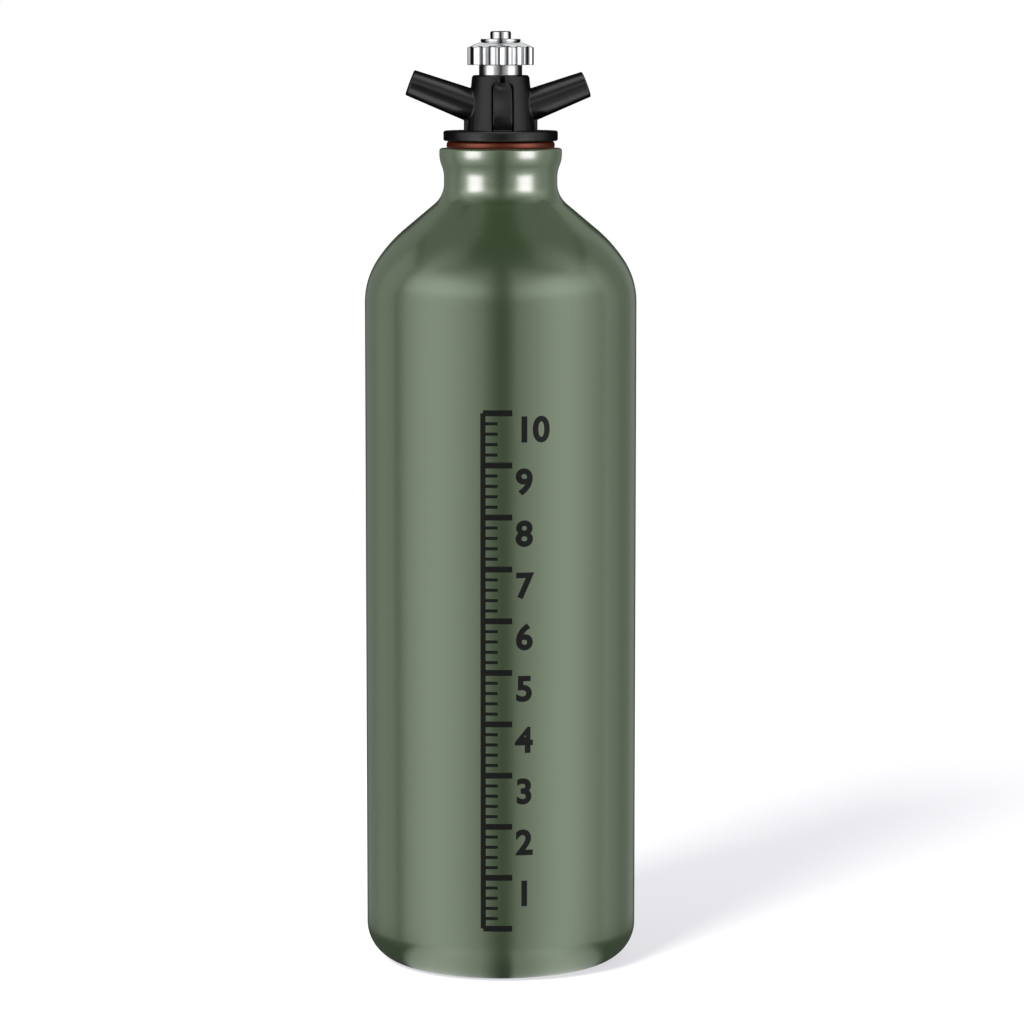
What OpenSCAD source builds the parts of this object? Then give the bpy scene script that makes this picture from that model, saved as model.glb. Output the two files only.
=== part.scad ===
// Refillable fuel bottle: a drawn one-piece bottle and a screw cap with two spouts and a spring-closed valve.
// The bottle stands on z = 0 with its axis on Z. The spouts point along +X and -X, and the front faces -Y.

/* [Bottle] */
// Outer diameter of the body
body_d = 80; // [72:0.5:96]
// Height of the lip above the standing ring
bottle_h = 241.5; // [200:0.5:300]
// Wall of the body, the shoulder and the base
wall = 1.2; // [0.8:0.1:1.6]
// Radius of the outer corner at the base
base_corner_r = 11; // [8:0.5:14]
// Height of the inward dome under the base
base_dome_h = 6; // [3:0.5:10]
// Width of the flat ring that the bottle stands on
ring_w = 2; // [1:0.25:4]
// Radius between the standing ring and the dome
ring_fillet_r = 2; // [1.8:0.1:3]
// Radius of the first curve from the body into the shoulder
shoulder_r = 22.4; // [18:0.2:26]
// Radius of the flatter curve above it
sweep_r = 42; // [34:0.5:48]
// Angle of the wall where the first curve hands over to the second
handover_a = 33.3; // [25:0.1:40]
// Steepest angle of the shoulder, measured from vertical
shoulder_a = 50; // [45:0.5:55]

/* [Neck] */
// Outer diameter of the neck at its narrowest
neck_d = 33.3; // [30:0.1:38]
// Wall of the neck, which carries the thread inside
neck_wall = 2.45; // [1.8:0.05:3]
// Height of the neck from the end of the shoulder's curve to the lip
neck_h = 10.3; // [9.5:0.1:16]
// Radius of the curve from the shoulder into the neck
neck_fillet_r = 7.9; // [6:0.1:10]
// How far the lip stands out past the neck
lip_flare = 1.35; // [0.8:0.05:2]
// Height of the curve from the neck out to the lip
lip_curve_h = 7; // [5:0.25:7.5]
// Height of the upright edge of the lip
lip_edge_h = 1.6; // [1.2:0.1:2]
// Rounding of the lip's outer edge
lip_round_r = 0.8; // [0.4:0.1:1]
// Chamfer at the mouth of the bore
mouth_chamfer = 0.4; // [0.2:0.05:0.6]

/* [Cap] */
// Height of the ring seal between the lip and the flange
seal_h = 2.1; // [1.6:0.1:3]
// Width of the ring seal's section
seal_w = 2.4; // [2:0.1:2.8]
// How far the flange stays inside the lip
flange_inset = 1.2; // [0.6:0.1:1.8]
// Thickness of the flange
flange_h = 3; // [2:0.1:4]
// Rounding of the flange's edges
flange_round_r = 0.6; // [0.3:0.1:0.9]
// Height of the column above the flange
column_h = 16.2; // [15.6:0.1:20]
// Diameter of the column's foot
foot_d = 20; // [18.6:0.1:21]
// Diameter of the column's top
column_top_d = 16.9; // [16.5:0.1:17.8]
// Rounding of the column's top edge
column_round_r = 0.9; // [0.5:0.1:1.1]
// Width of the flat-faced block across the column, from one spout's root to the other's, at its top
block_w = 18.4; // [17.6:0.1:19]
// Depth of the block from its front face to its back face
block_depth = 10.4; // [9.8:0.1:11.4]
// How much wider the block is at its foot, on each side
block_draft = 0.4; // [0.1:0.1:0.8]
// Height of the block above the flange
block_h = 12.5; // [11.6:0.1:13]
// Distance from the axis to the end of the rib under each spout
rib_reach = 10.7; // [10.2:0.1:12]
// Thickness of the rib under each spout
rib_t = 6; // [4:0.1:8]
// Height of the rib's upright end
rib_h = 3.2; // [2:0.1:3.6]
// Height of the curve from the rib's end up to the block
rib_curve_h = 5; // [4:0.1:6]
// Width of the recess in the front and the back of the column
recess_w = 6.4; // [5:0.1:8]
// Height of the recess above the flange
recess_h = 14; // [12:0.1:14.5]
// Rounding of the recess's upper corners
recess_round_r = 1.7; // [1:0.1:2.4]
// Radius of the tongue's slightly rounded face, which fills each recess
tongue_r = 8; // [6:0.1:10]
// Width of the groove on each side of a tongue
tongue_gap = 0.55; // [0.4:0.05:0.8]
// Angle at which a tongue leans back towards its foot
tongue_a = 14.5; // [10:0.5:18]
// Depth of a tongue's upper end below the top of its recess
tongue_drop = 0.9; // [0.4:0.1:1.6]
// Depth of the space that the two threads share between the plug and the neck
thread_depth = 1; // [0.7:0.05:1.3]
// Height of the smooth land that centres the plug in the neck
land_h = 1.8; // [1.2:0.1:2.4]
// Wall of the plug
plug_wall = 2.4; // [1.8:0.1:2.8]
// Depth of the valve seat below the flange
seat_drop = 7.1; // [6:0.1:9]

/* [Spouts] */
// Angle of the spouts above horizontal
spout_a = 20.5; // [17:0.1:24]
// Distance from the axis to the middle of the left spout's tip, along X
left_reach = 26.6; // [23:0.1:32]
// Distance from the axis to the middle of the right spout's tip, along X
right_reach = 25.2; // [22:0.1:32]
// Height above the flange at which the two spouts' axes meet
spout_z = 4.1; // [3.8:0.1:4.6]
// Outer diameter of a spout at its tip
spout_tip_d = 7.8; // [7.2:0.1:8.2]
// Taper of a spout, on each side
spout_taper_a = 2.8; // [2:0.1:3.4]
// Diameter of the passage through a spout
spout_bore_d = 5; // [4:0.1:5.6]
// Rounding of a spout's tip
spout_round_r = 0.4; // [0.2:0.05:0.6]

/* [Valve] */
// How far the valve opens when the knob is pressed
travel = 1.2; // [0.8:0.1:1.4]
// Diameter of the stem
stem_d = 5; // [4.4:0.1:5.4]
// Diameter of the chamber round the stem
chamber_d = 9.2; // [8.8:0.1:9.6]
// Diameter of the stem's riveted head
head_d = 6.1; // [5.8:0.1:7]
// Height of the stem's head
head_h = 2.3; // [1.5:0.1:3.5]
// Diameter of the shoulder on the stem above the gasket
shoulder_d = 7.2; // [6.6:0.1:7.8]
// Thickness of the shoulder on the stem
shoulder_t = 1; // [0.8:0.1:2]
// Section of the ring that seals the stem
stem_seal_d = 1.8; // [1.4:0.1:2]
// Thickness of the washer that holds the stem's seal
gland_washer_t = 0.6; // [0.4:0.1:1]
// Thickness of the web under the stem's seal
web_t = 1; // [0.8:0.1:1.4]
// Diameter of the valve disc
disc_d = 17; // [15.8:0.2:18.4]
// Thickness of the valve disc's plate
disc_t = 1.6; // [1:0.1:2.4]
// Thickness of the valve gasket
gasket_t = 1.5; // [1:0.1:2.5]
// Width across the flats of the nut
nut_af = 8; // [7:0.5:9]
// Height of the nut
nut_h = 4; // [3:0.1:5]
// Length of stem that shows below the nut
stem_tail = 0.5; // [0.3:0.1:1]

/* [Knob] */
// Diameter of the knob over its ridges
knob_d = 19.6; // [18:0.1:22]
// Height of the knob
knob_h = 6.7; // [6.3:0.1:9]
// Number of flutes round the knob
flutes = 14; // [10:1:16]
// Radius of a flute
flute_r = 2.6; // [2.2:0.1:3]
// Depth of a flute
flute_depth = 0.75; // [0.4:0.05:0.9]
// Angle from the front to the nearest flute with the cap and the knob screwed down
flute_turn = 5.6; // [0:0.1:25]
// Diameter of the flat top inside the knob's chamfer
knob_top_d = 11.6; // [10.5:0.1:12.5]
// Height of the knob's chamfer
knob_chamfer_h = 1.6; // [0.8:0.05:2]
// Outer diameter of the metal collar
collar_d = 12.65; // [12.4:0.05:12.9]
// Wall of the collar
collar_wall = 1.3; // [1:0.05:1.5]
// Thickness of the collar's floor, which guides the stem
collar_floor = 1.8; // [1.2:0.1:2.2]
// Depth of the collar in the top of the column
collar_depth = 3.6; // [3:0.1:4]
// Diameter of the stop washer under the stem's head
stop_washer_d = 11.7; // [10:0.1:13]
// Thickness of the stop washer
stop_washer_t = 0.9; // [0.6:0.1:1.4]
// Thickness of the washer between the spring and the knob
spring_washer_t = 0.8; // [0.5:0.1:1.2]
// Diameter of the spring's wire
spring_wire = 1; // [0.8:0.05:1.15]

/* [Clearances] */
// Radial clearance of a sliding or turning fit
running = 0.05; // [0.03:0.01:0.08]
// Radial clearance of the plug's land in the neck
land_gap = 0.1; // [0.05:0.01:0.1]
// Gap between pieces that pass each other
pass_gap = 0.3; // [0.25:0.05:0.4]

/* [Hidden] */
$fn = 96;
// Step of the arcs in the outlines, in degrees
arc_step = 5;
// Overlap that a cutting tool has past the faces that it opens
past = 1;

// Radii of the bottle and the neck
body_r = body_d / 2;
neck_r = neck_d / 2;
lip_r = neck_r + lip_flare;
bore_r = neck_r - neck_wall;

// Dome under the base, tangent to the fillet at the standing ring
ring_r = body_r - base_corner_r - ring_w;
dome_reach = (ring_r * ring_r + base_dome_h * base_dome_h) / (2 * base_dome_h);
dome_r = dome_reach - ring_fillet_r;
dome_c = [0, base_dome_h - dome_r];
ring_a = asin(ring_r / dome_reach);

// Shoulder, built down from the neck
neck_c = [neck_r + neck_fillet_r, bottle_h - neck_h];
neck_start = neck_c - neck_fillet_r * [cos(shoulder_a), sin(shoulder_a)];
sweep_end_r = body_r - shoulder_r * (1 - cos(handover_a)) - sweep_r * (cos(handover_a) - cos(shoulder_a));
sweep_end_z = neck_start[1] - (sweep_end_r - neck_start[0]) / tan(shoulder_a);
sweep_c = [sweep_end_r, sweep_end_z] - sweep_r * [cos(shoulder_a), sin(shoulder_a)];
shoulder_c = sweep_c + (sweep_r - shoulder_r) * [cos(handover_a), sin(handover_a)];

// Heights of the cap, from the lip upwards
lip_z = bottle_h;
flange_z = lip_z + seal_h;
deck_z = flange_z + flange_h;
column_z = deck_z + column_h;
rim_gap = 0.5;
knob_z = column_z + 2 * travel + rim_gap;
knob_top_z = knob_z + knob_h;
head_z = knob_top_z + stop_washer_t;
top_z = head_z + head_h;

// Heights inside the column, from the collar downwards
collar_z = column_z - collar_depth;
collar_floor_z = collar_z + collar_floor;
collar_hide = 0.3;
collar_top_z = knob_z + collar_hide;
gland_z = collar_z - gland_washer_t - stem_seal_d;
chamber_top_z = gland_z - web_t;

// Heights of the valve, from its seat downwards
seat_z = flange_z - seat_drop;
disc_z = seat_z - gasket_t - disc_t;
nut_z = disc_z - nut_h;
stem_z = nut_z - stem_tail;
plug_z = stem_z - travel - 0.2;

// Radii of the cap
flange_r = lip_r - flange_inset;
plug_r = bore_r - thread_depth;
seal_in_r = plug_r + pass_gap;
land_r = bore_r - land_gap;
land_top_z = lip_z - mouth_chamfer;
skirt_r = plug_r - plug_wall;
chamber_r = chamber_d / 2;
core_wall = 1.2;
core_r = chamber_r + core_wall;
collar_r = collar_d / 2;
collar_in_r = collar_r - collar_wall;
snug = 0.02;
stem_r = stem_d / 2;
slide_r = stem_r + running;
gland_r = slide_r + stem_seal_d + snug;

// Knob, its cup over the collar and the spring inside
cup_r = collar_r + pass_gap + running;
cup_z = collar_top_z + 2 * travel + pass_gap;
spring_washer_r = collar_in_r - pass_gap;
spring_h = cup_z - spring_washer_t - collar_floor_z;
spring_turns = (spring_h - travel) / spring_wire - 1;
spring_r = (slide_r + collar_in_r) / 2;

// Points along an arc from angle a0 to angle a1
function arc(c, r, a0, a1) =
    let (n = max(2, ceil(abs(a1 - a0) / arc_step)))
    [for (i = [0:n]) let (a = a0 + (a1 - a0) * i / n) c + r * [cos(a), sin(a)]];

// Points along two equal arcs that join two upright lines
function s_curve(p, q) =
    let (
        side = sign(q[0] - p[0]),
        rise = q[1] - p[1],
        turn = 2 * atan(abs(q[0] - p[0]) / rise),
        r = rise / (2 * sin(turn)),
        n = ceil(turn / arc_step)
    )
    concat(
        [for (i = [0:n]) let (a = turn * i / n) p + r * [side * (1 - cos(a)), sin(a)]],
        [for (i = [n - 1:-1:0]) let (a = turn * i / n) q - r * [side * (1 - cos(a)), sin(a)]]
    );

function reversed(v) = [for (i = [len(v) - 1:-1:0]) v[i]];

// Outline of the bottle's skin from the middle of the base to the start of the neck, t inside the outer face
function skin(t, neck_t) = concat(
    arc(dome_c, dome_r + t, 90, 90 - ring_a),
    arc([ring_r, ring_fillet_r], ring_fillet_r - t, 270 - ring_a, 270),
    arc([body_r - base_corner_r, base_corner_r], base_corner_r - t, -90, 0),
    arc(shoulder_c, shoulder_r - t, 0, handover_a),
    arc(sweep_c, sweep_r - t, handover_a, shoulder_a),
    arc(neck_c, neck_fillet_r + neck_t, 180 + shoulder_a, 180)
);

module revolve(outline) {
    rotate_extrude() polygon(outline);
}

// Flat ring between two radii, from height z0 to height z1
module ring(r_in, r_out, z0, z1) {
    revolve([[r_in, z0], [r_out, z0], [r_out, z1], [r_in, z1]]);
}

// Flat ring with a small rounding on its outer edges
module rounded_ring(r_in, r_out, z0, z1, r) {
    revolve(concat(
        [[r_in, z0]],
        arc([r_out - r, z0 + r], r, -90, 0),
        arc([r_out - r, z1 - r], r, 0, 90),
        [[r_in, z1]]
    ));
}

module bottle_shell() {
    lip_curve_z = lip_z - lip_edge_h - lip_curve_h;
    color("darkolivegreen") revolve(concat(
        skin(0, 0),
        s_curve([neck_r, lip_curve_z], [lip_r, lip_curve_z + lip_curve_h]),
        arc([lip_r - lip_round_r, lip_z - lip_round_r], lip_round_r, 0, 90),
        [[bore_r + mouth_chamfer, lip_z], [bore_r, lip_z - mouth_chamfer]],
        reversed(skin(wall, neck_wall))
    ));
}

module cap_seal() {
    top_r = 0.9;
    foot_r = 0.5;
    out_r = seal_in_r + seal_w;
    color("firebrick") revolve(concat(
        arc([seal_in_r + foot_r, lip_z + foot_r], foot_r, 180, 270),
        arc([out_r - foot_r, lip_z + foot_r], foot_r, -90, 0),
        arc([out_r - top_r, flange_z - top_r], top_r, 0, 90),
        arc([seal_in_r + foot_r, flange_z - foot_r], foot_r, 90, 180)
    ));
}

// Outside of the cap without its spouts: plug, flange and column
module cap_outside() {
    plug_chamfer = 0.8;
    revolve(concat(
        [[0, plug_z], [plug_r - plug_chamfer, plug_z], [plug_r, plug_z + plug_chamfer]],
        [[plug_r, land_top_z - land_h], [land_r, land_top_z - land_h], [land_r, land_top_z], [plug_r, land_top_z]],
        [[plug_r, flange_z]],
        arc([flange_r - flange_round_r, flange_z + flange_round_r], flange_round_r, -90, 0),
        arc([flange_r - flange_round_r, deck_z - flange_round_r], flange_round_r, 0, 90),
        [[foot_d / 2, deck_z]],
        arc([column_top_d / 2 - column_round_r, column_z - column_round_r], column_round_r, 0, 90),
        [[0, column_z]]
    ));
}

// Slab across the column with the given right half of its front view, mirrored to the left
module slab(half, depth) {
    translate([0, depth / 2, 0]) rotate([90, 0, 0]) linear_extrude(depth)
        polygon(concat(half, [for (p = reversed(half)) [-p[0], p[1]]]));
}

// Block between the roots of the spouts, with a thinner rib on each side that stands under the spout
module spout_roots() {
    block_r = block_w / 2;
    rib_z = deck_z + rib_h;
    slab([[block_r + block_draft, deck_z - past], [block_r, deck_z + block_h]], block_depth);
    slab(concat([[rib_reach, deck_z - past]], s_curve([rib_reach, rib_z], [block_r, rib_z + rib_curve_h])), rib_t);
}

// Upright slot with rounded upper corners, cut through the column from front to back
module recess_slot() {
    round_x = recess_w / 2 - recess_round_r;
    translate([0, foot_d / 2 + past, deck_z]) rotate([90, 0, 0]) linear_extrude(foot_d + 2 * past) {
        translate([-recess_w / 2, 0]) square([recess_w, recess_h - recess_round_r]);
        translate([-round_x, 0]) square([2 * round_x, recess_h]);
        for (side = [-1, 1])
            translate([side * round_x, recess_h - recess_round_r]) circle(recess_round_r);
    }
}

// Tongue in the front and in the back recess, which runs out into the column's face at its upper end
module tongues() {
    top_z = deck_z + recess_h - tongue_drop;
    face_r = lookup(top_z, [[deck_z, foot_d / 2], [column_z - column_round_r, column_top_d / 2]]);
    width = recess_w - 2 * tongue_gap;
    for (turn = [0, 180]) rotate(turn) intersection() {
        translate([0, -face_r, top_z]) rotate([tongue_a, 0, 0]) translate([0, tongue_r, 0])
            cylinder(h = 2 * column_h, r = tongue_r, center = true);
        translate([-width / 2, -foot_d / 2, deck_z - past]) cube([width, foot_d / 2 + past, column_h]);
    }
}

// Walls that the slot leaves standing: the chamber's tube, the collar's socket and the tube between the spouts
module column_core() {
    socket_r = collar_r + core_wall;
    cross_r = core_r + 0.5;
    cross_z = spout_z + core_wall;
    revolve([
        [0, deck_z - past],
        [core_r, deck_z - past],
        [core_r, chamber_top_z - 0.2],
        [socket_r, gland_z + 0.8],
        [socket_r, column_z - column_round_r - 0.6],
        [0, column_z - column_round_r - 0.6]
    ]);
    translate([0, 0, deck_z + cross_z]) rotate([0, 90, 0]) cylinder(h = recess_w + past, r = cross_r, center = true);
}

// Turns what stands on Z so that it lies along one spout's axis
module along_spout(side) {
    translate([0, 0, deck_z + spout_z]) rotate([0, side * (90 - spout_a), 0]) children();
}

module spout_outside(length) {
    tip_r = spout_tip_d / 2;
    revolve(concat(
        [[0, 0], [tip_r + length * tan(spout_taper_a), 0]],
        arc([tip_r - spout_round_r, length - spout_round_r], spout_round_r, spout_taper_a, 90),
        [[0, length]]
    ));
}

module spout_passage(length) {
    mouth = 0.3;
    cylinder(h = length + past, r = spout_bore_d / 2);
    translate([0, 0, length - mouth]) cylinder(h = 2 * mouth, r1 = spout_bore_d / 2, r2 = spout_bore_d / 2 + 2 * mouth);
}

// Space round the stem: chamber, stem hole, pocket of the stem's seal and socket of the collar
module cap_bore() {
    translate([0, 0, seat_z - past]) cylinder(h = chamber_top_z - seat_z + past, r = chamber_r);
    translate([0, 0, chamber_top_z - past]) cylinder(h = column_z - chamber_top_z, r = slide_r);
    translate([0, 0, gland_z]) cylinder(h = column_z - gland_z, r = gland_r);
    translate([0, 0, collar_z - gland_washer_t]) cylinder(h = column_h, r = collar_r + snug);
}

// Hollow under the cap, round the boss that carries the valve seat
module plug_hollow() {
    ceiling_z = flange_z - 1;
    corner_r = 1;
    boss_r = chamber_r + 2.4;
    seat_in_r = chamber_r + 0.6;
    seat_out_r = boss_r - 0.8;
    revolve(concat(
        [[0, plug_z - past], [skirt_r, plug_z - past]],
        arc([skirt_r - corner_r, ceiling_z - corner_r], corner_r, 0, 90),
        [[boss_r, ceiling_z], [boss_r, seat_z + 1.2], [seat_out_r, seat_z], [seat_in_r, seat_z]],
        [[chamber_r, seat_z + 0.6], [0, seat_z + 0.6]]
    ));
}

module cap_body() {
    color("dimgray") difference() {
        union() {
            difference() {
                union() {
                    cap_outside();
                    spout_roots();
                }
                difference() {
                    recess_slot();
                    tongues();
                }
            }
            column_core();
            along_spout(-1) spout_outside(left_reach / cos(spout_a));
            along_spout(1) spout_outside(right_reach / cos(spout_a));
        }
        cap_bore();
        plug_hollow();
        along_spout(-1) spout_passage(left_reach / cos(spout_a));
        along_spout(1) spout_passage(right_reach / cos(spout_a));
    }
}

module guide_collar() {
    edge = 0.25;
    color("silver") revolve([
        [slide_r, collar_z], [collar_r - edge, collar_z], [collar_r, collar_z + edge],
        [collar_r, collar_top_z - edge], [collar_r - edge, collar_top_z], [collar_in_r, collar_top_z],
        [collar_in_r, collar_floor_z], [slide_r, collar_floor_z]
    ]);
}

module gland_washer() {
    color("silver") ring(slide_r, collar_r - snug, collar_z - gland_washer_t, collar_z);
}

module stem_seal() {
    color("black") translate([0, 0, gland_z + stem_seal_d / 2])
        rotate_extrude() translate([slide_r + stem_seal_d / 2, 0]) circle(d = stem_seal_d);
}

module valve_stem() {
    tip = 0.5;
    head_r = head_d / 2;
    head_round_r = 0.6;
    color("lightgray") revolve(concat(
        [[0, stem_z], [stem_r - tip, stem_z], [stem_r, stem_z + tip], [stem_r, seat_z]],
        [[shoulder_d / 2, seat_z], [shoulder_d / 2, seat_z + shoulder_t], [stem_r, seat_z + shoulder_t]],
        [[stem_r, head_z], [head_r, head_z]],
        arc([head_r - head_round_r, top_z - head_round_r], head_round_r, 0, 90),
        [[0, top_z]]
    ));
}

module stop_washer() {
    color("silver") rounded_ring(slide_r, stop_washer_d / 2, knob_top_z, head_z, 0.2);
}

module thumb_knob() {
    knob_r = knob_d / 2;
    foot_chamfer = 0.3;
    lead_in = 0.3;
    flute_c = knob_r + flute_r - flute_depth;
    color("gainsboro") difference() {
        revolve([
            [slide_r, cup_z], [cup_r, cup_z], [cup_r, knob_z + lead_in], [cup_r + lead_in, knob_z],
            [knob_r - foot_chamfer, knob_z], [knob_r, knob_z + foot_chamfer],
            [knob_r, knob_top_z - knob_chamfer_h], [knob_top_d / 2, knob_top_z], [slide_r, knob_top_z]
        ]);
        for (i = [0:flutes - 1]) rotate(flute_turn - 90 + 360 * i / flutes)
            translate([flute_c, 0, knob_z - past]) cylinder(h = knob_h + 2 * past, r = flute_r);
    }
}

module spring_washer() {
    color("silver") ring(slide_r, spring_washer_r, cup_z - spring_washer_t, cup_z);
}

// Coil of round wire, as a tube swept along a helix between two flat seats
module return_spring() {
    sides = 8;
    rings_per_turn = 16;
    wire_r = spring_wire / 2;
    climb = spring_h - spring_wire;
    rings = round(spring_turns * rings_per_turn);
    points = [for (i = [0:rings], j = [0:sides - 1])
        let (
            turn = 360 * spring_turns * i / rings,
            a = 360 * j / sides,
            r = spring_r + wire_r * cos(a),
            z = collar_floor_z + wire_r + climb * i / rings + wire_r * sin(a)
        )
        [r * cos(turn), r * sin(turn), z]];
    walls = [for (i = [0:rings - 1], j = [0:sides - 1])
        let (a = i * sides + j, b = i * sides + (j + 1) % sides)
        each [[a, a + sides, b + sides], [a, b + sides, b]]];
    ends = [for (j = [1:sides - 2])
        each [[0, j, j + 1], [rings * sides, rings * sides + j + 1, rings * sides + j]]];
    color("lightgray") polyhedron(points, concat(walls, ends));
}

module valve_gasket() {
    color("black") ring(slide_r, disc_d / 2 - 0.8, seat_z - gasket_t, seat_z);
}

// Shallow cup that holds the gasket against the seat
module valve_disc() {
    lip = gasket_t * 0.6;
    disc_r = disc_d / 2;
    pocket_r = disc_r - 0.75;
    color("goldenrod") revolve([
        [slide_r, disc_z], [disc_r - 0.4, disc_z], [disc_r, disc_z + 0.4], [disc_r, disc_z + disc_t + lip],
        [pocket_r, disc_z + disc_t + lip], [pocket_r, disc_z + disc_t], [slide_r, disc_z + disc_t]
    ]);
}

module valve_nut() {
    corner_r = nut_af / 2 / cos(30);
    flat_r = nut_af / 2 * 0.98;
    slope = (corner_r - flat_r) * tan(30);
    color("goldenrod") difference() {
        intersection() {
            translate([0, 0, nut_z]) cylinder(h = nut_h, r = corner_r, $fn = 6);
            revolve([
                [0, nut_z], [flat_r, nut_z], [corner_r, nut_z + slope],
                [corner_r, nut_z + nut_h - slope], [flat_r, nut_z + nut_h], [0, nut_z + nut_h]
            ]);
        }
        translate([0, 0, nut_z - past]) cylinder(h = nut_h + 2 * past, r = slide_r);
    }
}

bottle_shell();
cap_seal();
cap_body();
guide_collar();
gland_washer();
stem_seal();
valve_stem();
stop_washer();
thumb_knob();
spring_washer();
return_spring();
valve_gasket();
valve_disc();
valve_nut();
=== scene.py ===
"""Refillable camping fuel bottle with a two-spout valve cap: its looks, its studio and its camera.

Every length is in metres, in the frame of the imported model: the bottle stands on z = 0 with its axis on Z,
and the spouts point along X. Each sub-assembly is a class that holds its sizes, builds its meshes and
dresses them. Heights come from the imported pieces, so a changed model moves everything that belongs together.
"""

from __future__ import annotations

import json
import logging
import math
from dataclasses import dataclass
from enum import Enum
from typing import Any, Callable, Iterable

import bmesh
import bpy
import numpy as np
from mathutils import Matrix, Vector

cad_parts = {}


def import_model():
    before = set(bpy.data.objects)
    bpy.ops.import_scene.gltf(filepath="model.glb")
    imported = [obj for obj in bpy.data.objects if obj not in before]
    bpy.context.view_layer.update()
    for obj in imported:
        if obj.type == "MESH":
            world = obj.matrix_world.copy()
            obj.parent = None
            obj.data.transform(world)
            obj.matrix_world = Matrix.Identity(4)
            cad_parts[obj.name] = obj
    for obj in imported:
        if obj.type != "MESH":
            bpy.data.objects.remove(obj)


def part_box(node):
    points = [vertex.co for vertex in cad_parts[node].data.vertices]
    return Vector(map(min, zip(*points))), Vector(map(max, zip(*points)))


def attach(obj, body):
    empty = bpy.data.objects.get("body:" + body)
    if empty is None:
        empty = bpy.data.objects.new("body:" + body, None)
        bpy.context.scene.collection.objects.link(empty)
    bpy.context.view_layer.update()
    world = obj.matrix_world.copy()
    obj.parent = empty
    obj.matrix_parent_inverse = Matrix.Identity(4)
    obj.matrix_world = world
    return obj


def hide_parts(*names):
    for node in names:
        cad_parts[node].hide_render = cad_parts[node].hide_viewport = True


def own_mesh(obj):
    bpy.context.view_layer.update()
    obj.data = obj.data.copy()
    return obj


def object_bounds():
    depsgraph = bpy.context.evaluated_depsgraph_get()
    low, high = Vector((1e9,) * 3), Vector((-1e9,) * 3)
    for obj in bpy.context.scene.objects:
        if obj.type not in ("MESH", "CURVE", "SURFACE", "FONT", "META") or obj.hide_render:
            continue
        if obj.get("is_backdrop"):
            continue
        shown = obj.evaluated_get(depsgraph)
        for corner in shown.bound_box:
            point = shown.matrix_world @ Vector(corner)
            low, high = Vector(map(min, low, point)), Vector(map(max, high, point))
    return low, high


log = logging.getLogger("fuel_bottle")

MM = 0.001
# Names of the pieces that the studio's light boxes pick out
SHELL = "bottle_shell_body"
NECK = "bottle_shell_neck"
SEAL = "cap_seal_ring"
MOULDING = "cap_moulding"
COLLAR = "guide_collar_tube"
CHROMES = ("thumb_knob_head", "stop_washer_ring", "valve_stem_rod")
# Radius on the far side of the axis to which the outline of a solid turned body is closed
PAST_AXIS = -5 * MM

Point = tuple[float, float]
Outline = list[Point]
Colour = tuple[float, float, float, float]
Distances = np.ndarray


class Slot(Enum):
    """The record's material slots."""

    PAINT = "olive_paint"
    SEAL_RUBBER = "red_rubber"
    PLASTIC = "black_plastic"
    STEEL = "turned_steel"
    CHROME = "polished_chrome"
    RUBBER = "black_rubber"
    WIRE = "spring_wire"
    BRASS = "yellow_brass"


class Turn(Enum):
    """Which side of a wall a screw thread stands on."""

    OUTSIDE = 1
    INSIDE = -1


def linear(hex_code: str) -> Colour:
    """Turns a six-digit hexadecimal screen colour into the renderer's linear colour.

    Args:
        hex_code: Red, green and blue, two digits each.

    Returns:
        The linear colour with an alpha of 1.
    """
    shares = [int(hex_code[i : i + 2], 16) / 255 for i in (0, 2, 4)]
    red, green, blue = (s / 12.92 if s <= 0.04045 else ((s + 0.055) / 1.055) ** 2.4 for s in shares)
    return red, green, blue, 1.0


# Outlines and meshes


def arc(centre: Point, radius: float, start: float, end: float, step: float = 4.0) -> Outline:
    """Places points along an arc.

    Args:
        centre: Middle of the arc.
        radius: Its radius.
        start: First angle in degrees, counted from the radius axis towards up.
        end: Last angle in degrees.
        step: Largest angle between two points, in degrees.

    Returns:
        The points, both ends included.
    """
    count = max(2, math.ceil(abs(end - start) / step))
    angles = np.radians(np.linspace(start, end, count + 1))
    return [(centre[0] + radius * math.cos(a), centre[1] + radius * math.sin(a)) for a in angles]


def s_curve(low: Point, high: Point, step: float = 3.0) -> Outline:
    """Joins two upright lines with two equal arcs.

    Args:
        low: Where the lower line ends.
        high: Where the upper line starts.
        step: Largest angle between two points, in degrees.

    Returns:
        The points from low to high.
    """
    side = math.copysign(1, high[0] - low[0])
    rise = high[1] - low[1]
    turn = 2 * math.atan(abs(high[0] - low[0]) / rise)
    radius = rise / (2 * math.sin(turn))
    angles = np.linspace(0, turn, max(2, math.ceil(math.degrees(turn) / step)) + 1)
    first = [(low[0] + side * radius * (1 - math.cos(a)), low[1] + radius * math.sin(a)) for a in angles]
    second = [(high[0] - side * radius * (1 - math.cos(a)), high[1] - radius * math.sin(a)) for a in angles]
    return first + second[-2::-1]


def mesh_object(name: str, points: np.ndarray, faces: Iterable[Iterable[int]], sharp: float) -> bpy.types.Object:
    """Makes a smooth-shaded object whose faces look outwards.

    Args:
        name: Name of the object and its mesh.
        points: Vertex positions, one row each.
        faces: Vertex numbers of each face.
        sharp: Angle in degrees above which an edge stays sharp.

    Returns:
        The object, linked to the scene.
    """
    mesh = bpy.data.meshes.new(name)
    mesh.from_pydata(np.asarray(points).tolist(), [], [list(f) for f in faces])
    made = bmesh.new()
    made.from_mesh(mesh)
    bmesh.ops.recalc_face_normals(made, faces=made.faces)
    made.to_mesh(mesh)
    made.free()
    mesh.shade_smooth()
    mesh.set_sharp_from_angle(angle=math.radians(sharp))
    piece = bpy.data.objects.new(name, mesh)
    bpy.context.scene.collection.objects.link(piece)
    return piece


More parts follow.
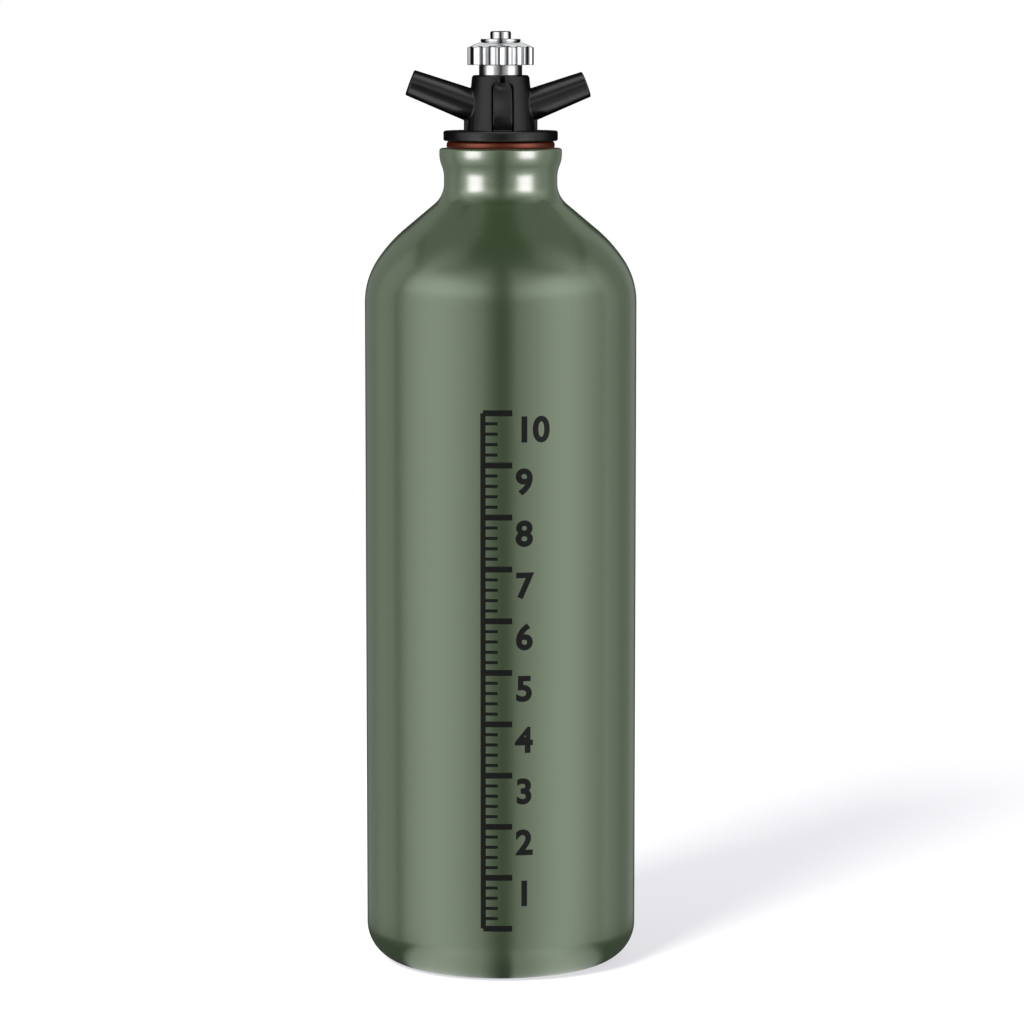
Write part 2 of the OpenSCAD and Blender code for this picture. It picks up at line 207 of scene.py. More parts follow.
def loft(
    name: str, rings: list[np.ndarray], loop: bool = False, capped: bool = False, sharp: float = 30.0
) -> bpy.types.Object:
    """Joins rings of points, one after the other, into one mesh.

    Args:
        name: Name of the object.
        rings: Each ring's points in order, all of one count. A ring of one point is a pole.
        loop: Whether the last ring joins the first.
        capped: Whether a face closes the first and the last ring.
        sharp: Angle in degrees above which an edge stays sharp.

    Returns:
        The object, linked to the scene.
    """
    starts = np.concatenate([[0], np.cumsum([len(ring) for ring in rings])])
    size = max(len(ring) for ring in rings)
    around = [(i, (i + 1) % size) for i in range(size)]
    faces: list[tuple[int, ...]] = []
    for here in range(len(rings) - 1 + loop):
        there = (here + 1) % len(rings)
        a, b = int(starts[here]), int(starts[there])
        if len(rings[here]) == 1:
            faces += [(a, b + i, b + j) for i, j in around]
        elif len(rings[there]) == 1:
            faces += [(a + i, a + j, b) for i, j in around]
        else:
            faces += [(a + i, a + j, b + j, b + i) for i, j in around]
    if capped:
        faces.append(tuple(range(size)))
        faces.append(tuple(int(starts[-2]) + i for i in range(size)))
    return mesh_object(name, np.concatenate(rings), faces, sharp)


def turned(name: str, outline: Outline, segments: int = 160, sharp: float = 30.0) -> bpy.types.Object:
    """Turns an outline about Z.

    Args:
        name: Name of the object.
        outline: Points of radius and height. A solid body's outline starts and ends on the axis; any other
            outline closes on itself.
        segments: Sides of the round.
        sharp: Angle in degrees above which an edge stays sharp.

    Returns:
        The object, linked to the scene.
    """
    angles = np.linspace(0, 2 * math.pi, segments, endpoint=False)
    rings = []
    for radius, height in outline:
        around = angles if radius > 1e-9 else angles[:1]
        rings.append(np.stack([radius * np.cos(around), radius * np.sin(around), np.full(len(around), height)], 1))
    return loft(name, rings, loop=outline[0][0] > 1e-9, sharp=sharp)


def rounded_ring(inner: float, outer: float, low: float, high: float, edge: float) -> Outline:
    """Outlines a flat ring with small roundings on all its edges.

    Args:
        inner: Radius of the hole.
        outer: Radius of the rim.
        low: Height of the lower face.
        high: Height of the upper face.
        edge: Radius of the roundings.

    Returns:
        The closed outline.
    """
    corners = [(inner, low, 180), (outer, low, 270), (outer, high, 0), (inner, high, 90)]
    outline: Outline = []
    for radius, height, start in corners:
        centre = (
            radius - edge if radius == outer else radius + edge,
            height - edge if height == high else height + edge,
        )
        outline += arc(centre, edge, start, start + 90, step=18)
    return outline


@dataclass
class Thread:
    """A screw thread's ridge, right-handed and cut to nothing at both ends."""

    root: float
    crest: float
    low: float
    high: float
    pitch: float
    base: float
    tip: float
    side: Turn
    start: float = 0.0
    run_out: float = 60.0
    sides_per_turn: int = 90

    def build(self, name: str) -> bpy.types.Object:
        """Sweeps the ridge's section along the helix.

        Args:
            name: Name of the object.

        Returns:
            The ridge, whose root lies just inside its wall.
        """
        sink = 0.1 * MM * self.side.value
        turns = (self.high - self.low) / self.pitch
        count = math.ceil(turns * self.sides_per_turn)
        rings = []
        for i in range(count + 1):
            along = i / count
            angle = 2 * math.pi * turns * along
            from_end = math.degrees(min(angle, 2 * math.pi * turns - angle))
            rise = min(1.0, 0.04 + from_end / self.run_out)
            middle = self.low + (self.high - self.low) * along
            crest = self.root + (self.crest - self.root) * rise
            section = [
                (self.root - sink, -self.base / 2),
                (crest, -self.tip / 2),
                (crest, self.tip / 2),
                (self.root - sink, self.base / 2),
            ]
            turn = angle + math.radians(self.start)
            rings.append(
                np.array([(r * math.cos(turn), r * math.sin(turn), middle + h) for r, h in section])
            )
        return loft(name, rings, capped=True, sharp=25)


# Distance fields, for the moulded cap


def round_union(a: Distances, b: Distances, radius: float) -> Distances:
    """Joins two solids with a fillet of the radius where they meet."""
    u, v = np.maximum(radius - a, 0), np.maximum(radius - b, 0)
    return np.maximum(radius, np.minimum(a, b)) - np.hypot(u, v)


def round_common(a: Distances, b: Distances, radius: float) -> Distances:
    """Keeps what two solids share, with its new edges rounded to the radius."""
    u, v = np.maximum(radius + a, 0), np.maximum(radius + b, 0)
    return np.minimum(-radius, np.maximum(a, b)) + np.hypot(u, v)


def round_cut(a: Distances, b: Distances, radius: float) -> Distances:
    """Cuts solid b out of solid a and rounds the new edges to the radius."""
    return round_common(a, -b, radius)


class TurnedField:
    """Distance to a turned solid, looked up in a table over radius and height."""

    STEP = 0.08 * MM
    MARGIN = 1.2 * MM

    def __init__(self, outline: Outline) -> None:
        """Fills the table.

        Args:
            outline: Closed outline of radius and height, which passes the axis where the solid does.
        """
        points = np.array(outline)
        self.low = np.array([0.0, points[:, 1].min() - self.MARGIN])
        high = points.max(axis=0) + self.MARGIN
        counts = np.ceil((high - self.low) / self.STEP).astype(int) + 1
        r, z = np.meshgrid(*(self.low[i] + self.STEP * np.arange(counts[i]) for i in (0, 1)), indexing="ij")
        self.table = self.to_outline(r, z, points)

    @staticmethod
    def to_outline(r: np.ndarray, z: np.ndarray, points: np.ndarray) -> Distances:
        """Measures the signed distance from points to a closed outline.

        Args:
            r: Radii of the points.
            z: Heights of the points.
            points: The outline's corners, one row each.

        Returns:
            The distances, negative inside.
        """
        nearest = np.full(r.shape, np.inf)
        inside = np.zeros(r.shape, bool)
        for start, end in zip(points, np.roll(points, -1, axis=0)):
            edge = end - start
            length2 = edge @ edge
            if length2 == 0:
                continue
            dr, dz = r - start[0], z - start[1]
            share = np.clip((dr * edge[0] + dz * edge[1]) / length2, 0, 1)
            nearest = np.minimum(nearest, (dr - share * edge[0]) ** 2 + (dz - share * edge[1]) ** 2)
            if edge[1] != 0:
                crossed = ((start[1] > z) != (end[1] > z)) & (dr < edge[0] * dz / edge[1])
                inside ^= crossed
        return np.where(inside, -1, 1) * np.sqrt(nearest)

    def __call__(self, points: np.ndarray) -> Distances:
        """Looks the distances of points up.

        Args:
            points: Positions, one row each.

        Returns:
            Their distances to the solid, negative inside.
        """
        place = np.stack([np.hypot(points[:, 0], points[:, 1]), points[:, 2]], 1)
        place = np.clip((place - self.low) / self.STEP, 0, np.array(self.table.shape) - 1.001)
        cell = place.astype(int)
        share = place - cell
        i, j = cell.T
        low = self.table[i, j] * (1 - share[:, 0]) + self.table[i + 1, j] * share[:, 0]
        high = self.table[i, j + 1] * (1 - share[:, 0]) + self.table[i + 1, j + 1] * share[:, 0]
        return low * (1 - share[:, 1]) + high * share[:, 1]


class SurfaceNet:
    """Meshes the surface of a distance field on a regular grid."""

    CORNERS = [(x, y, z) for x in (0, 1) for y in (0, 1) for z in (0, 1)]
    SLOPE_STEP = 0.02 * MM
    SETTLING_ROUNDS = 2
    BLOCK = 4

    def __init__(self, field: Callable[[np.ndarray], Distances], low: Vector, high: Vector, step: float) -> None:
        """Samples the field: roughly in blocks of cells, and at every corner near the surface.

        Args:
            field: Gives the distance of each row of positions.
            low: Lowest corner of the grid.
            high: Highest corner of the grid.
            step: Size of a grid cell.
        """
        self.field, self.low, self.step = field, np.array(low), step
        counts = np.ceil((np.array(high) - self.low) / step).astype(int) + 1
        axes = [self.low[i] + step * np.arange(counts[i]) for i in range(3)]
        grid = np.stack(np.meshgrid(*axes, indexing="ij"), axis=-1)
        middles = [axis[:: self.BLOCK] + step * (self.BLOCK - 1) / 2 for axis in axes]
        blocks = np.stack(np.meshgrid(*middles, indexing="ij"), axis=-1)
        self.values = field(blocks.reshape(-1, 3)).reshape(blocks.shape[:3])
        for axis, count in enumerate(counts):
            self.values = self.values.repeat(self.BLOCK, axis).take(range(count), axis)
        near = np.abs(self.values) < 2 * self.BLOCK * step
        self.values[near] = field(grid[near])
        self.inside = self.values < 0
        self.cells = tuple(counts - 1)

    def corner(self, array: np.ndarray, place: tuple[int, int, int]) -> np.ndarray:
        """Takes one corner of every cell."""
        return array[tuple(slice(p, p + n) for p, n in zip(place, self.cells))]

    def settle(self, points: np.ndarray) -> np.ndarray:
        """Moves points along the field's slope until they lie on the surface.

        Args:
            points: Positions near the surface.

        Returns:
            The moved positions.
        """
        shifts = self.SLOPE_STEP * np.eye(3)
        for _ in range(self.SETTLING_ROUNDS):
            slope = np.stack([self.field(points + s) - self.field(points - s) for s in shifts], 1)
            slope /= 2 * self.SLOPE_STEP
            steepness = np.maximum((slope**2).sum(axis=1), 0.25)
            move = np.clip(self.field(points) / steepness, -self.step / 2, self.step / 2)
            points = points - move[:, None] * slope
        return points

    def build(self, name: str, sharp: float = 50.0) -> bpy.types.Object:
        """Makes the mesh.

        Args:
            name: Name of the object.
            sharp: Angle in degrees above which an edge stays sharp.

        Returns:
            The object, linked to the scene.
        """
        filled = sum(self.corner(self.inside, c).astype(int) for c in self.CORNERS)
        active = (filled > 0) & (filled < len(self.CORNERS))
        number = np.full(self.cells, -1)
        number[active] = np.arange(active.sum())
        total, hits = np.zeros((active.sum(), 3)), np.zeros(active.sum())
        for axis in range(3):
            for start in (c for c in self.CORNERS if c[axis] == 0):
                end = tuple(p + (i == axis) for i, p in enumerate(start))
                a, b = self.corner(self.values, start)[active], self.corner(self.values, end)[active]
                crossed = (a < 0) != (b < 0)
                share = np.where(crossed, a / np.where(crossed, a - b, 1), 0)
                place = np.array(start, float) + share[:, None] * np.eye(3)[axis]
                total += np.where(crossed[:, None], place, 0)
                hits += crossed
        points = self.low + self.step * (np.argwhere(active) + total / hits[:, None])
        faces = []
        for axis in range(3):
            near = np.take(self.inside, range(self.inside.shape[axis] - 1), axis)
            far = np.take(self.inside, range(1, self.inside.shape[axis]), axis)
            edges = np.argwhere(near != far)
            u, v = (np.eye(3, dtype=int)[(axis + i) % 3] for i in (1, 2))
            quads = np.stack([number[tuple((edges - back).T)] for back in (u + v, v, 0 * u, u)], 1)
            outward = near[tuple(edges.T)]
            faces += quads[outward].tolist() + quads[~outward][:, ::-1].tolist()
        return mesh_object(name, self.settle(points), faces, sharp)


# Finishes


class Graph:
    """Adds nodes to a shader tree, with their values and links in one call."""

    def __init__(self, tree: bpy.types.NodeTree) -> None:
        """Keeps the tree that the nodes go to."""
        self.tree = tree

    def add(self, kind: str, inputs: dict[str | int, Any] | None = None, **options: Any) -> bpy.types.Node:
        """Adds a node.

        Args:
            kind: The node's type name.
            inputs: For each input, the socket that feeds it or its value.
            options: The node's other settings.

        Returns:
            The node.
        """
        node = self.tree.nodes.new(kind)
        for key, value in options.items():
            setattr(node, key, value)
        for key, value in (inputs or {}).items():
            if isinstance(value, bpy.types.NodeSocket):
                self.tree.links.new(value, node.inputs[key])
            else:
                node.inputs[key].default_value = value
        return node

    def math(self, operation: str, *values: Any) -> bpy.types.NodeSocket:
        """Adds a Math node and returns its result."""
        return self.add("ShaderNodeMath", dict(enumerate(values)), operation=operation).outputs[0]

    def ramp(self, value: Any, low: float, high: float, to_low: float, to_high: float) -> bpy.types.NodeSocket:
        """Maps a value smoothly from one range to another.

        Args:
            value: The socket to map.
            low: Value that gives to_low.
            high: Value that gives to_high.
            to_low: Result at and below low.
            to_high: Result at and above high.

        Returns:
            The result's socket.
        """
        inputs = {0: value, 1: low, 2: high, 3: to_low, 4: to_high}
        return self.add("ShaderNodeMapRange", inputs, interpolation_type="SMOOTHSTEP").outputs[0]

    def blend(self, share: Any, a: Any, b: Any) -> bpy.types.NodeSocket:
        """Mixes two colours by a share and returns the result."""
        return self.add("ShaderNodeMix", {0: share, 6: a, 7: b}, data_type="RGBA").outputs[2]

    def placed(self, effect: bpy.types.NodeTree, inputs: dict[str | int, Any]) -> bpy.types.Node:
        """Places an effect and sets its named inputs."""
        node = self.add("ShaderNodeGroup", None, node_tree=effect)
        for key, value in inputs.items():
            if isinstance(value, bpy.types.NodeSocket):
                self.tree.links.new(value, node.inputs[key])
            else:
                node.inputs[key].default_value = value
        return node


class Effects:
    """Surface effects that several finishes share, each one a shader node group."""

    def __init__(self) -> None:
        """Builds the groups once."""
        self.speckle = self.speckle_group()
        self.turning = self.turning_group()
        self.edges = self.edges_group()

    @staticmethod
    def new_group(name: str, takes: dict[str, float], gives: dict[str, str]) -> tuple[Graph, Any, Any]:
        """Starts a group with named sockets.

        Args:
            name: Name of the group.
            takes: Each input's name and usual value.
            gives: Each output's name and socket type.

        Returns:
            The graph, the node with the inputs and the node with the outputs.
        """
        tree = bpy.data.node_groups.new(name, "ShaderNodeTree")
        for label, value in takes.items():
            socket = tree.interface.new_socket(name=label, in_out="INPUT", socket_type="NodeSocketFloat")
            socket.default_value = value
        for label, kind in gives.items():
            tree.interface.new_socket(name=label, in_out="OUTPUT", socket_type=kind)
        graph = Graph(tree)
        return graph, graph.add("NodeGroupInput"), graph.add("NodeGroupOutput")

    def speckle_group(self) -> bpy.types.NodeTree:
        """Even noise of one size: orange peel, moulded grain, smudges or mottling."""
        takes = {"Size": 1 * MM, "Low": 0.3, "High": 0.7}
        graph, given, result = self.new_group("speckle", takes, {"Mask": "NodeSocketFloat"})
        place = graph.add("ShaderNodeTexCoord").outputs["Object"]
        scale = graph.math("DIVIDE", 1.0, given.outputs["Size"])
        noise = graph.add("ShaderNodeTexNoise", {"Vector": place, "Scale": scale, "Detail": 2.5, "Roughness": 0.55})
        inputs = {0: noise.outputs[0], 1: given.outputs["Low"], 2: given.outputs["High"], 3: 0.0, 4: 1.0}
        mask = graph.add("ShaderNodeMapRange", inputs, interpolation_type="SMOOTHSTEP").outputs[0]
        graph.tree.links.new(mask, result.inputs["Mask"])
        return graph.tree

    def turning_group(self) -> bpy.types.NodeTree:
        """Fine marks that run round the axis, as a lathe tool or a brushing belt leaves them."""
        takes = {"Pitch": 0.1 * MM, "Length": 6.0}
        graph, given, result = self.new_group("turning_marks", takes, {"Mask": "NodeSocketFloat"})
        place = graph.add("ShaderNodeTexCoord").outputs["Object"]
        parts = graph.add("ShaderNodeSeparateXYZ", {0: place}).outputs
        flat = graph.add("ShaderNodeCombineXYZ", {0: parts[0], 1: parts[1]}).outputs[0]
        radius = graph.add("ShaderNodeVectorMath", {0: flat}, operation="LENGTH").outputs["Value"]
        heading = graph.add("ShaderNodeVectorMath", {0: flat}, operation="NORMALIZE").outputs[0]
        wrapped = graph.add(
            "ShaderNodeVectorMath", {0: heading, "Scale": given.outputs["Length"]}, operation="SCALE"
        ).outputs[0]
        run = graph.math("MULTIPLY_ADD", parts[2], 0.83, radius)
        lines = graph.math("DIVIDE", run, given.outputs["Pitch"])
        across = graph.add("ShaderNodeCombineXYZ", {2: lines}).outputs[0]
        where = graph.add("ShaderNodeVectorMath", {0: wrapped, 1: across}, operation="ADD").outputs[0]
        noise = graph.add("ShaderNodeTexNoise", {"Vector": where, "Scale": 1.0, "Detail": 2.0, "Roughness": 0.6})
        graph.tree.links.new(noise.outputs[0], result.inputs["Mask"])
        return graph.tree

    def edges_group(self) -> bpy.types.NodeTree:
        """Softened edges: the rounded normal, and a mask of where an edge lies."""
        gives = {"Normal": "NodeSocketVector", "Mask": "NodeSocketFloat"}
        graph, given, result = self.new_group("soft_edges", {"Radius": 0.2 * MM}, gives)
        rounded = graph.add("ShaderNodeBevel", {"Radius": given.outputs["Radius"]}, samples=4).outputs[0]
        plain = graph.add("ShaderNodeNewGeometry").outputs["Normal"]
        same = graph.add("ShaderNodeVectorMath", {0: rounded, 1: plain}, operation="DOT_PRODUCT").outputs["Value"]
        mask = graph.ramp(same, 0.98, 0.8, 0.0, 1.0)
        graph.tree.links.new(rounded, result.inputs["Normal"])
        graph.tree.links.new(mask, result.inputs["Mask"])
        return graph.tree


def new_material(name: str) -> tuple[bpy.types.Material, Graph, bpy.types.Node]:
    """Starts a material.

    Args:
        name: Its name.

    Returns:
        The material, its graph and its Principled shader.
    """
    material = bpy.data.materials.new(name)
    material.use_nodes = True
    graph = Graph(material.node_tree)
    return material, graph, material.node_tree.nodes["Principled BSDF"]


@dataclass(frozen=True)
class Paint:
    """Satin metallic paint with a faint orange peel, smoother where the neck was formed."""

    name: str = "olive_paint"
    colour: Colour = (0.066, 0.105, 0.045, 1.0)
    deep_colour: Colour = (0.063, 0.101, 0.043, 1.0)
    roughness: float = 0.21
    ior: float = 2.8
    tint: Colour = (0.86, 1.0, 0.78, 1.0)
    peel_size: float = 1.6 * MM
    peel_depth: float = 0.004 * MM
    mottle_size: float = 22 * MM
    smooth_from: float = 224 * MM
    smooth_to: float = 229 * MM
    smooth_roughness: float = 0.26

    def material(self, effects: Effects) -> bpy.types.Material:
        """Builds the material.

        Args:
            effects: The shared surface effects.

        Returns:
            The material.
        """
        material, graph, shader = new_material(self.name)
        mottle = graph.placed(effects.speckle, {"Size": self.mottle_size}).outputs["Mask"]
        peel = graph.placed(effects.speckle, {"Size": self.peel_size, "Low": 0.0, "High": 1.0}).outputs["Mask"]
        place = graph.add("ShaderNodeTexCoord").outputs["Object"]
        height = graph.add("ShaderNodeSeparateXYZ", {0: place}).outputs[2]
        rough = graph.ramp(height, self.smooth_from, self.smooth_to, self.roughness, self.smooth_roughness)
        colour = graph.blend(mottle, self.colour, self.deep_colour)
        roughness = graph.math("MULTIPLY_ADD", mottle, 0.02, rough)
        bump = graph.add("ShaderNodeBump", {"Height": peel, "Distance": self.peel_depth}).outputs[0]
        for socket, value in (("Base Color", colour), ("Roughness", roughness), ("Normal", bump)):
            graph.tree.links.new(value, shader.inputs[socket])
        shader.inputs["IOR"].default_value = self.ior
        shader.inputs["Specular Tint"].default_value = self.tint
        return material


@dataclass(frozen=True)
class Moulded:
    """Moulded plastic or rubber with a fine grain and rounded edges."""

    name: str
    colour: Colour
    worn_colour: Colour
    roughness: float
    grain_size: float
    grain_depth: float
    edge_radius: float
    specular: float = 0.5
    tint: Colour = (1.0, 1.0, 1.0, 1.0)

    def material(self, effects: Effects) -> bpy.types.Material:
        """Builds the material.

        Args:
            effects: The shared surface effects.

        Returns:
            The material.
        """
        material, graph, shader = new_material(self.name)
        smudge = graph.placed(effects.speckle, {"Size": 5 * MM}).outputs["Mask"]
        grain = graph.placed(effects.speckle, {"Size": self.grain_size, "Low": 0.2, "High": 0.8}).outputs["Mask"]
        edges = graph.placed(effects.edges, {"Radius": self.edge_radius})
        worn = graph.math("MULTIPLY", edges.outputs["Mask"], 0.5)
        colour = graph.blend(worn, self.colour, self.worn_colour)
        roughness = graph.math("MULTIPLY_ADD", smudge, 0.04, self.roughness)
        inputs = {"Height": grain, "Distance": self.grain_depth, "Normal": edges.outputs["Normal"]}
        bump = graph.add("ShaderNodeBump", inputs).outputs[0]
        for socket, value in (("Base Color", colour), ("Roughness", roughness), ("Normal", bump)):
            graph.tree.links.new(value, shader.inputs[socket])
        shader.inputs["Specular IOR Level"].default_value = self.specular
        shader.inputs["Specular Tint"].default_value = self.tint
        return material


@dataclass(frozen=True)
class TurnedMetal:
    """Metal with fine marks round its axis and softened edges."""

    name: str
    colour: Colour
    roughness: float
    mark_pitch: float
    mark_depth: float
    edge_radius: float
    spread: float = 0.06

    def material(self, effects: Effects) -> bpy.types.Material:
        """Builds the material.

        Args:
            effects: The shared surface effects.

        Returns:
            The material.
        """
        material, graph, shader = new_material(self.name)
        marks = graph.placed(effects.turning, {"Pitch": self.mark_pitch}).outputs["Mask"]
        smudge = graph.placed(effects.speckle, {"Size": 4 * MM}).outputs["Mask"]
        edges = graph.placed(effects.edges, {"Radius": self.edge_radius})
        tarnish = tuple(0.86 * part for part in self.colour[:3]) + (1.0,)
        colour = graph.blend(smudge, self.colour, tarnish)
        rough = graph.math("MULTIPLY_ADD", marks, self.spread, self.roughness)
        roughness = graph.math("MULTIPLY_ADD", smudge, self.spread / 3, rough)
        inputs = {"Height": marks, "Distance": self.mark_depth, "Normal": edges.outputs["Normal"]}
        bump = graph.add("ShaderNodeBump", inputs).outputs[0]
        for socket, value in (("Base Color", colour), ("Roughness", roughness), ("Normal", bump)):
            graph.tree.links.new(value, shader.inputs[socket])
        shader.inputs["Metallic"].default_value = 1.0
        return material


class Finishes:
    """Every finish of the bottle, built once."""

    def __init__(self) -> None:
        """Builds the materials."""
        effects = Effects()
        self.paint = Paint().material(effects)
        self.ink = Moulded(
            "scale_ink", linear("121411"), linear("181b17"), 0.4, 0.5 * MM, 0.001 * MM, 0.01 * MM, 0.3
        ).material(effects)
        self.seal_rubber = Moulded(
            "red_rubber", linear("541c07"), linear("65260c"), 0.36, 0.35 * MM, 0.002 * MM, 0.1 * MM, 0.8,
            (1.0, 0.45, 0.34, 1.0),
        ).material(effects)
        self.plastic = Moulded(
            "black_plastic", linear("0f0f0f"), linear("151515"), 0.28, 0.22 * MM, 0.0006 * MM, 0.15 * MM, 0.5
        ).material(effects)
        self.rubber = Moulded(
            "black_rubber", linear("141414"), linear("1d1d1d"), 0.55, 0.3 * MM, 0.003 * MM, 0.1 * MM
        ).material(effects)
        self.bare = TurnedMetal(
            "bare_aluminium", linear("c9cac8"), 0.34, 0.25 * MM, 0.004 * MM, 0.1 * MM, 0.12
        ).material(effects)
        self.steel = TurnedMetal(
            "turned_steel", linear("c8c8c7"), 0.14, 0.11 * MM, 0.003 * MM, 0.12 * MM, 0.12
        ).material(effects)
        self.chrome = TurnedMetal(
            "polished_chrome", linear("dcdddf"), 0.05, 0.16 * MM, 0.0004 * MM, 0.12 * MM, 0.03
        ).material(effects)
        self.wire = TurnedMetal(
            "spring_wire", linear("b5b6b6"), 0.24, 0.2 * MM, 0.001 * MM, 0.05 * MM
        ).material(effects)
        self.brass = TurnedMetal(
            "yellow_brass", linear("d2b26a"), 0.25, 0.14 * MM, 0.002 * MM, 0.1 * MM, 0.1
        ).material(effects)


# Sub-assemblies


@dataclass(frozen=True)
class Levels:
    """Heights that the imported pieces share, from the base up."""

    plug: float
    stem: float
    disc: float
    seat: float
    lip: float
    flange: float
    collar: float
    collar_floor: float
    knob: float
    cup: float
    knob_top: float
    head: float
    top: float

    @classmethod
    def from_frame(cls) -> Levels:
        """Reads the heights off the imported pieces' boxes."""

        def low(node: str) -> float:
            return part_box(node)[0].z

        def high(node: str) -> float:
            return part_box(node)[1].z

        return cls(
            plug=low("cap_body"),
            stem=low("valve_stem"),
            disc=low("valve_disc"),
            seat=high("valve_gasket"),
            lip=high("bottle_shell"),
            flange=high("cap_seal"),
            collar=low("guide_collar"),
            collar_floor=low("return_spring"),
            knob=low("thumb_knob"),
            cup=high("spring_washer"),
            knob_top=high("thumb_knob"),
            head=high("stop_washer"),
            top=high("valve_stem"),
        )


@dataclass
class Builder:
    """What every sub-assembly needs: the heights and the finishes."""

    levels: Levels
    finishes: Finishes

    def dress(
        self, piece: bpy.types.Object, body: str, slot: Slot, material: bpy.types.Material, *nodes: str
    ) -> bpy.types.Object:
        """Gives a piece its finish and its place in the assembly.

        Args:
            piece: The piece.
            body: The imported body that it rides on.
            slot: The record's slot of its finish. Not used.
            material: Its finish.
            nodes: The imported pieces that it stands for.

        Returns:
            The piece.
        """
        piece.data.materials.append(material)
        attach(piece, body)
        if nodes:
            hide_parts(*nodes)
        return piece


@dataclass
class BottleShell(Builder):
    """The drawn one-piece bottle and the thread in its neck."""

    wall: float = 1.2 * MM
    base_corner: float = 11 * MM
    dome_height: float = 6 * MM
    ring_width: float = 2 * MM
    ring_fillet: float = 2 * MM
    shoulder: float = 22.4 * MM
    sweep: float = 42 * MM
    handover: float = 33.3
    slope: float = 50.0
    neck: float = 16.65 * MM
    neck_wall: float = 2.45 * MM
    neck_height: float = 10.3 * MM
    neck_fillet: float = 7.9 * MM
    lip_flare: float = 1.35 * MM
    lip_curve: float = 7 * MM
    lip_edge: float = 1.6 * MM
    lip_round: float = 0.8 * MM
    mouth_chamfer: float = 0.4 * MM
    thread_pitch: float = 3 * MM
    thread_depth: float = 0.8 * MM
    joint_turn: float = 35.0
    joint_sliver: float = 0.2
    segments: int = 288

    def skin(self, depth: float, neck_depth: float) -> Outline:
        """Outlines the bottle from the middle of the base to the start of the neck.

        Args:
            depth: How far the outline lies inside the outer face.
            neck_depth: The same in the curve into the neck.

        Returns:
            The points of radius and height.
        """
        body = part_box("bottle_shell")[1].x
        ring = body - self.base_corner - self.ring_width
        reach = (ring**2 + self.dome_height**2) / (2 * self.dome_height)
        dome = reach - self.ring_fillet
        edge = math.degrees(math.asin(ring / reach))
        turn, steep = math.radians(self.handover), math.radians(self.slope)
        neck = (self.neck + self.neck_fillet, self.levels.lip - self.neck_height)
        start = (neck[0] - self.neck_fillet * math.cos(steep), neck[1] - self.neck_fillet * math.sin(steep))
        end = body - self.shoulder * (1 - math.cos(turn)) - self.sweep * (math.cos(turn) - math.cos(steep))
        end_height = start[1] - (end - start[0]) / math.tan(steep)
        sweep = (end - self.sweep * math.cos(steep), end_height - self.sweep * math.sin(steep))
        apart = self.sweep - self.shoulder
        shoulder = (sweep[0] + apart * math.cos(turn), sweep[1] + apart * math.sin(turn))
        corner = (body - self.base_corner, self.base_corner)
        upper = arc(sweep, self.sweep - depth, self.handover, self.slope, step=1.5)
        fillet, joint, sliver = self.neck_fillet + neck_depth, 180 + self.joint_turn, self.joint_sliver
        over = (
            arc(neck, fillet, 180 + self.slope, joint + sliver, step=2.5)
            + arc(neck, fillet, joint, joint - sliver, step=sliver)
            + arc(neck, fillet, joint - 2 * sliver, 180, step=2.5)
        )
        return (
            [(0.0, self.dome_height + depth)]
            + arc((0.0, self.dome_height - dome), dome + depth, 90, 90 - edge, step=1.5)[1:]
            + arc((ring, self.ring_fillet), self.ring_fillet - depth, 270 - edge, 270, step=9)
            + arc(corner, self.base_corner - depth, -90, 0, step=3)
            + arc(shoulder, self.shoulder - depth, 0, self.handover, step=1.5)
            + upper + over
        )

    def outline(self) -> Outline:
        """Outlines the whole wall, outside and inside."""
        lip = self.levels.lip
        bore = self.neck - self.neck_wall
        flared = self.neck + self.lip_flare
        curve = lip - self.lip_edge - self.lip_curve
        mouth = [(bore + self.mouth_chamfer, lip), (bore, lip - self.mouth_chamfer)]
        return (
            self.skin(0.0, 0.0)
            + s_curve((self.neck, curve), (flared, curve + self.lip_curve), step=1.5)
            + arc((flared - self.lip_round, lip - self.lip_round), self.lip_round, 0, 90, step=10)
            + mouth
            + self.skin(self.wall, self.neck_wall)[::-1]
        )

    def build(self) -> list[bpy.types.Object]:
        """Builds the bottle and its neck thread.

        Returns:
            The dressed pieces.
        """
        bore = self.neck - self.neck_wall
        body = turned(SHELL, self.outline(), self.segments)
        neck = bpy.data.objects.new(NECK, body.data.copy())
        bpy.context.scene.collection.objects.link(neck)
        lip = self.levels.lip
        joint = lip - self.neck_height - self.neck_fillet * math.sin(math.radians(self.joint_turn))
        for shell, side in ((body, 1), (neck, -1)):
            made = bmesh.new()
            made.from_mesh(shell.data)
            other = [f for f in made.faces if (f.calc_center_median().z - joint) * side > 0]
            bmesh.ops.delete(made, geom=other, context="FACES")
            made.to_mesh(shell.data)
            made.free()
            self.dress(shell, "bottle", Slot.PAINT, self.finishes.paint, "bottle_shell")
            shell.data.materials.append(self.finishes.bare)
            for face in shell.data.polygons:
                out = face.center.to_2d().dot(face.normal.to_2d()) > 0 or face.center.z < self.dome_height
                in_mouth = face.center.to_2d().length < bore + self.mouth_chamfer and face.center.z > lip / 2
                deep = face.center.z > self.wall + 1e-5 and face.normal.z > 0 and face.center.z < lip / 4
                face.material_index = int(in_mouth or deep or not out)
        thread = Thread(
            root=bore, crest=bore - self.thread_depth, low=lip - 10.0 * MM, high=lip - 3.4 * MM,
            pitch=self.thread_pitch, base=1.5 * MM, tip=0.5 * MM, side=Turn.INSIDE, start=180.0,
        ).build("neck_thread")
        self.dress(thread, "bottle", Slot.PAINT, self.finishes.bare)
        return [body, neck, thread]


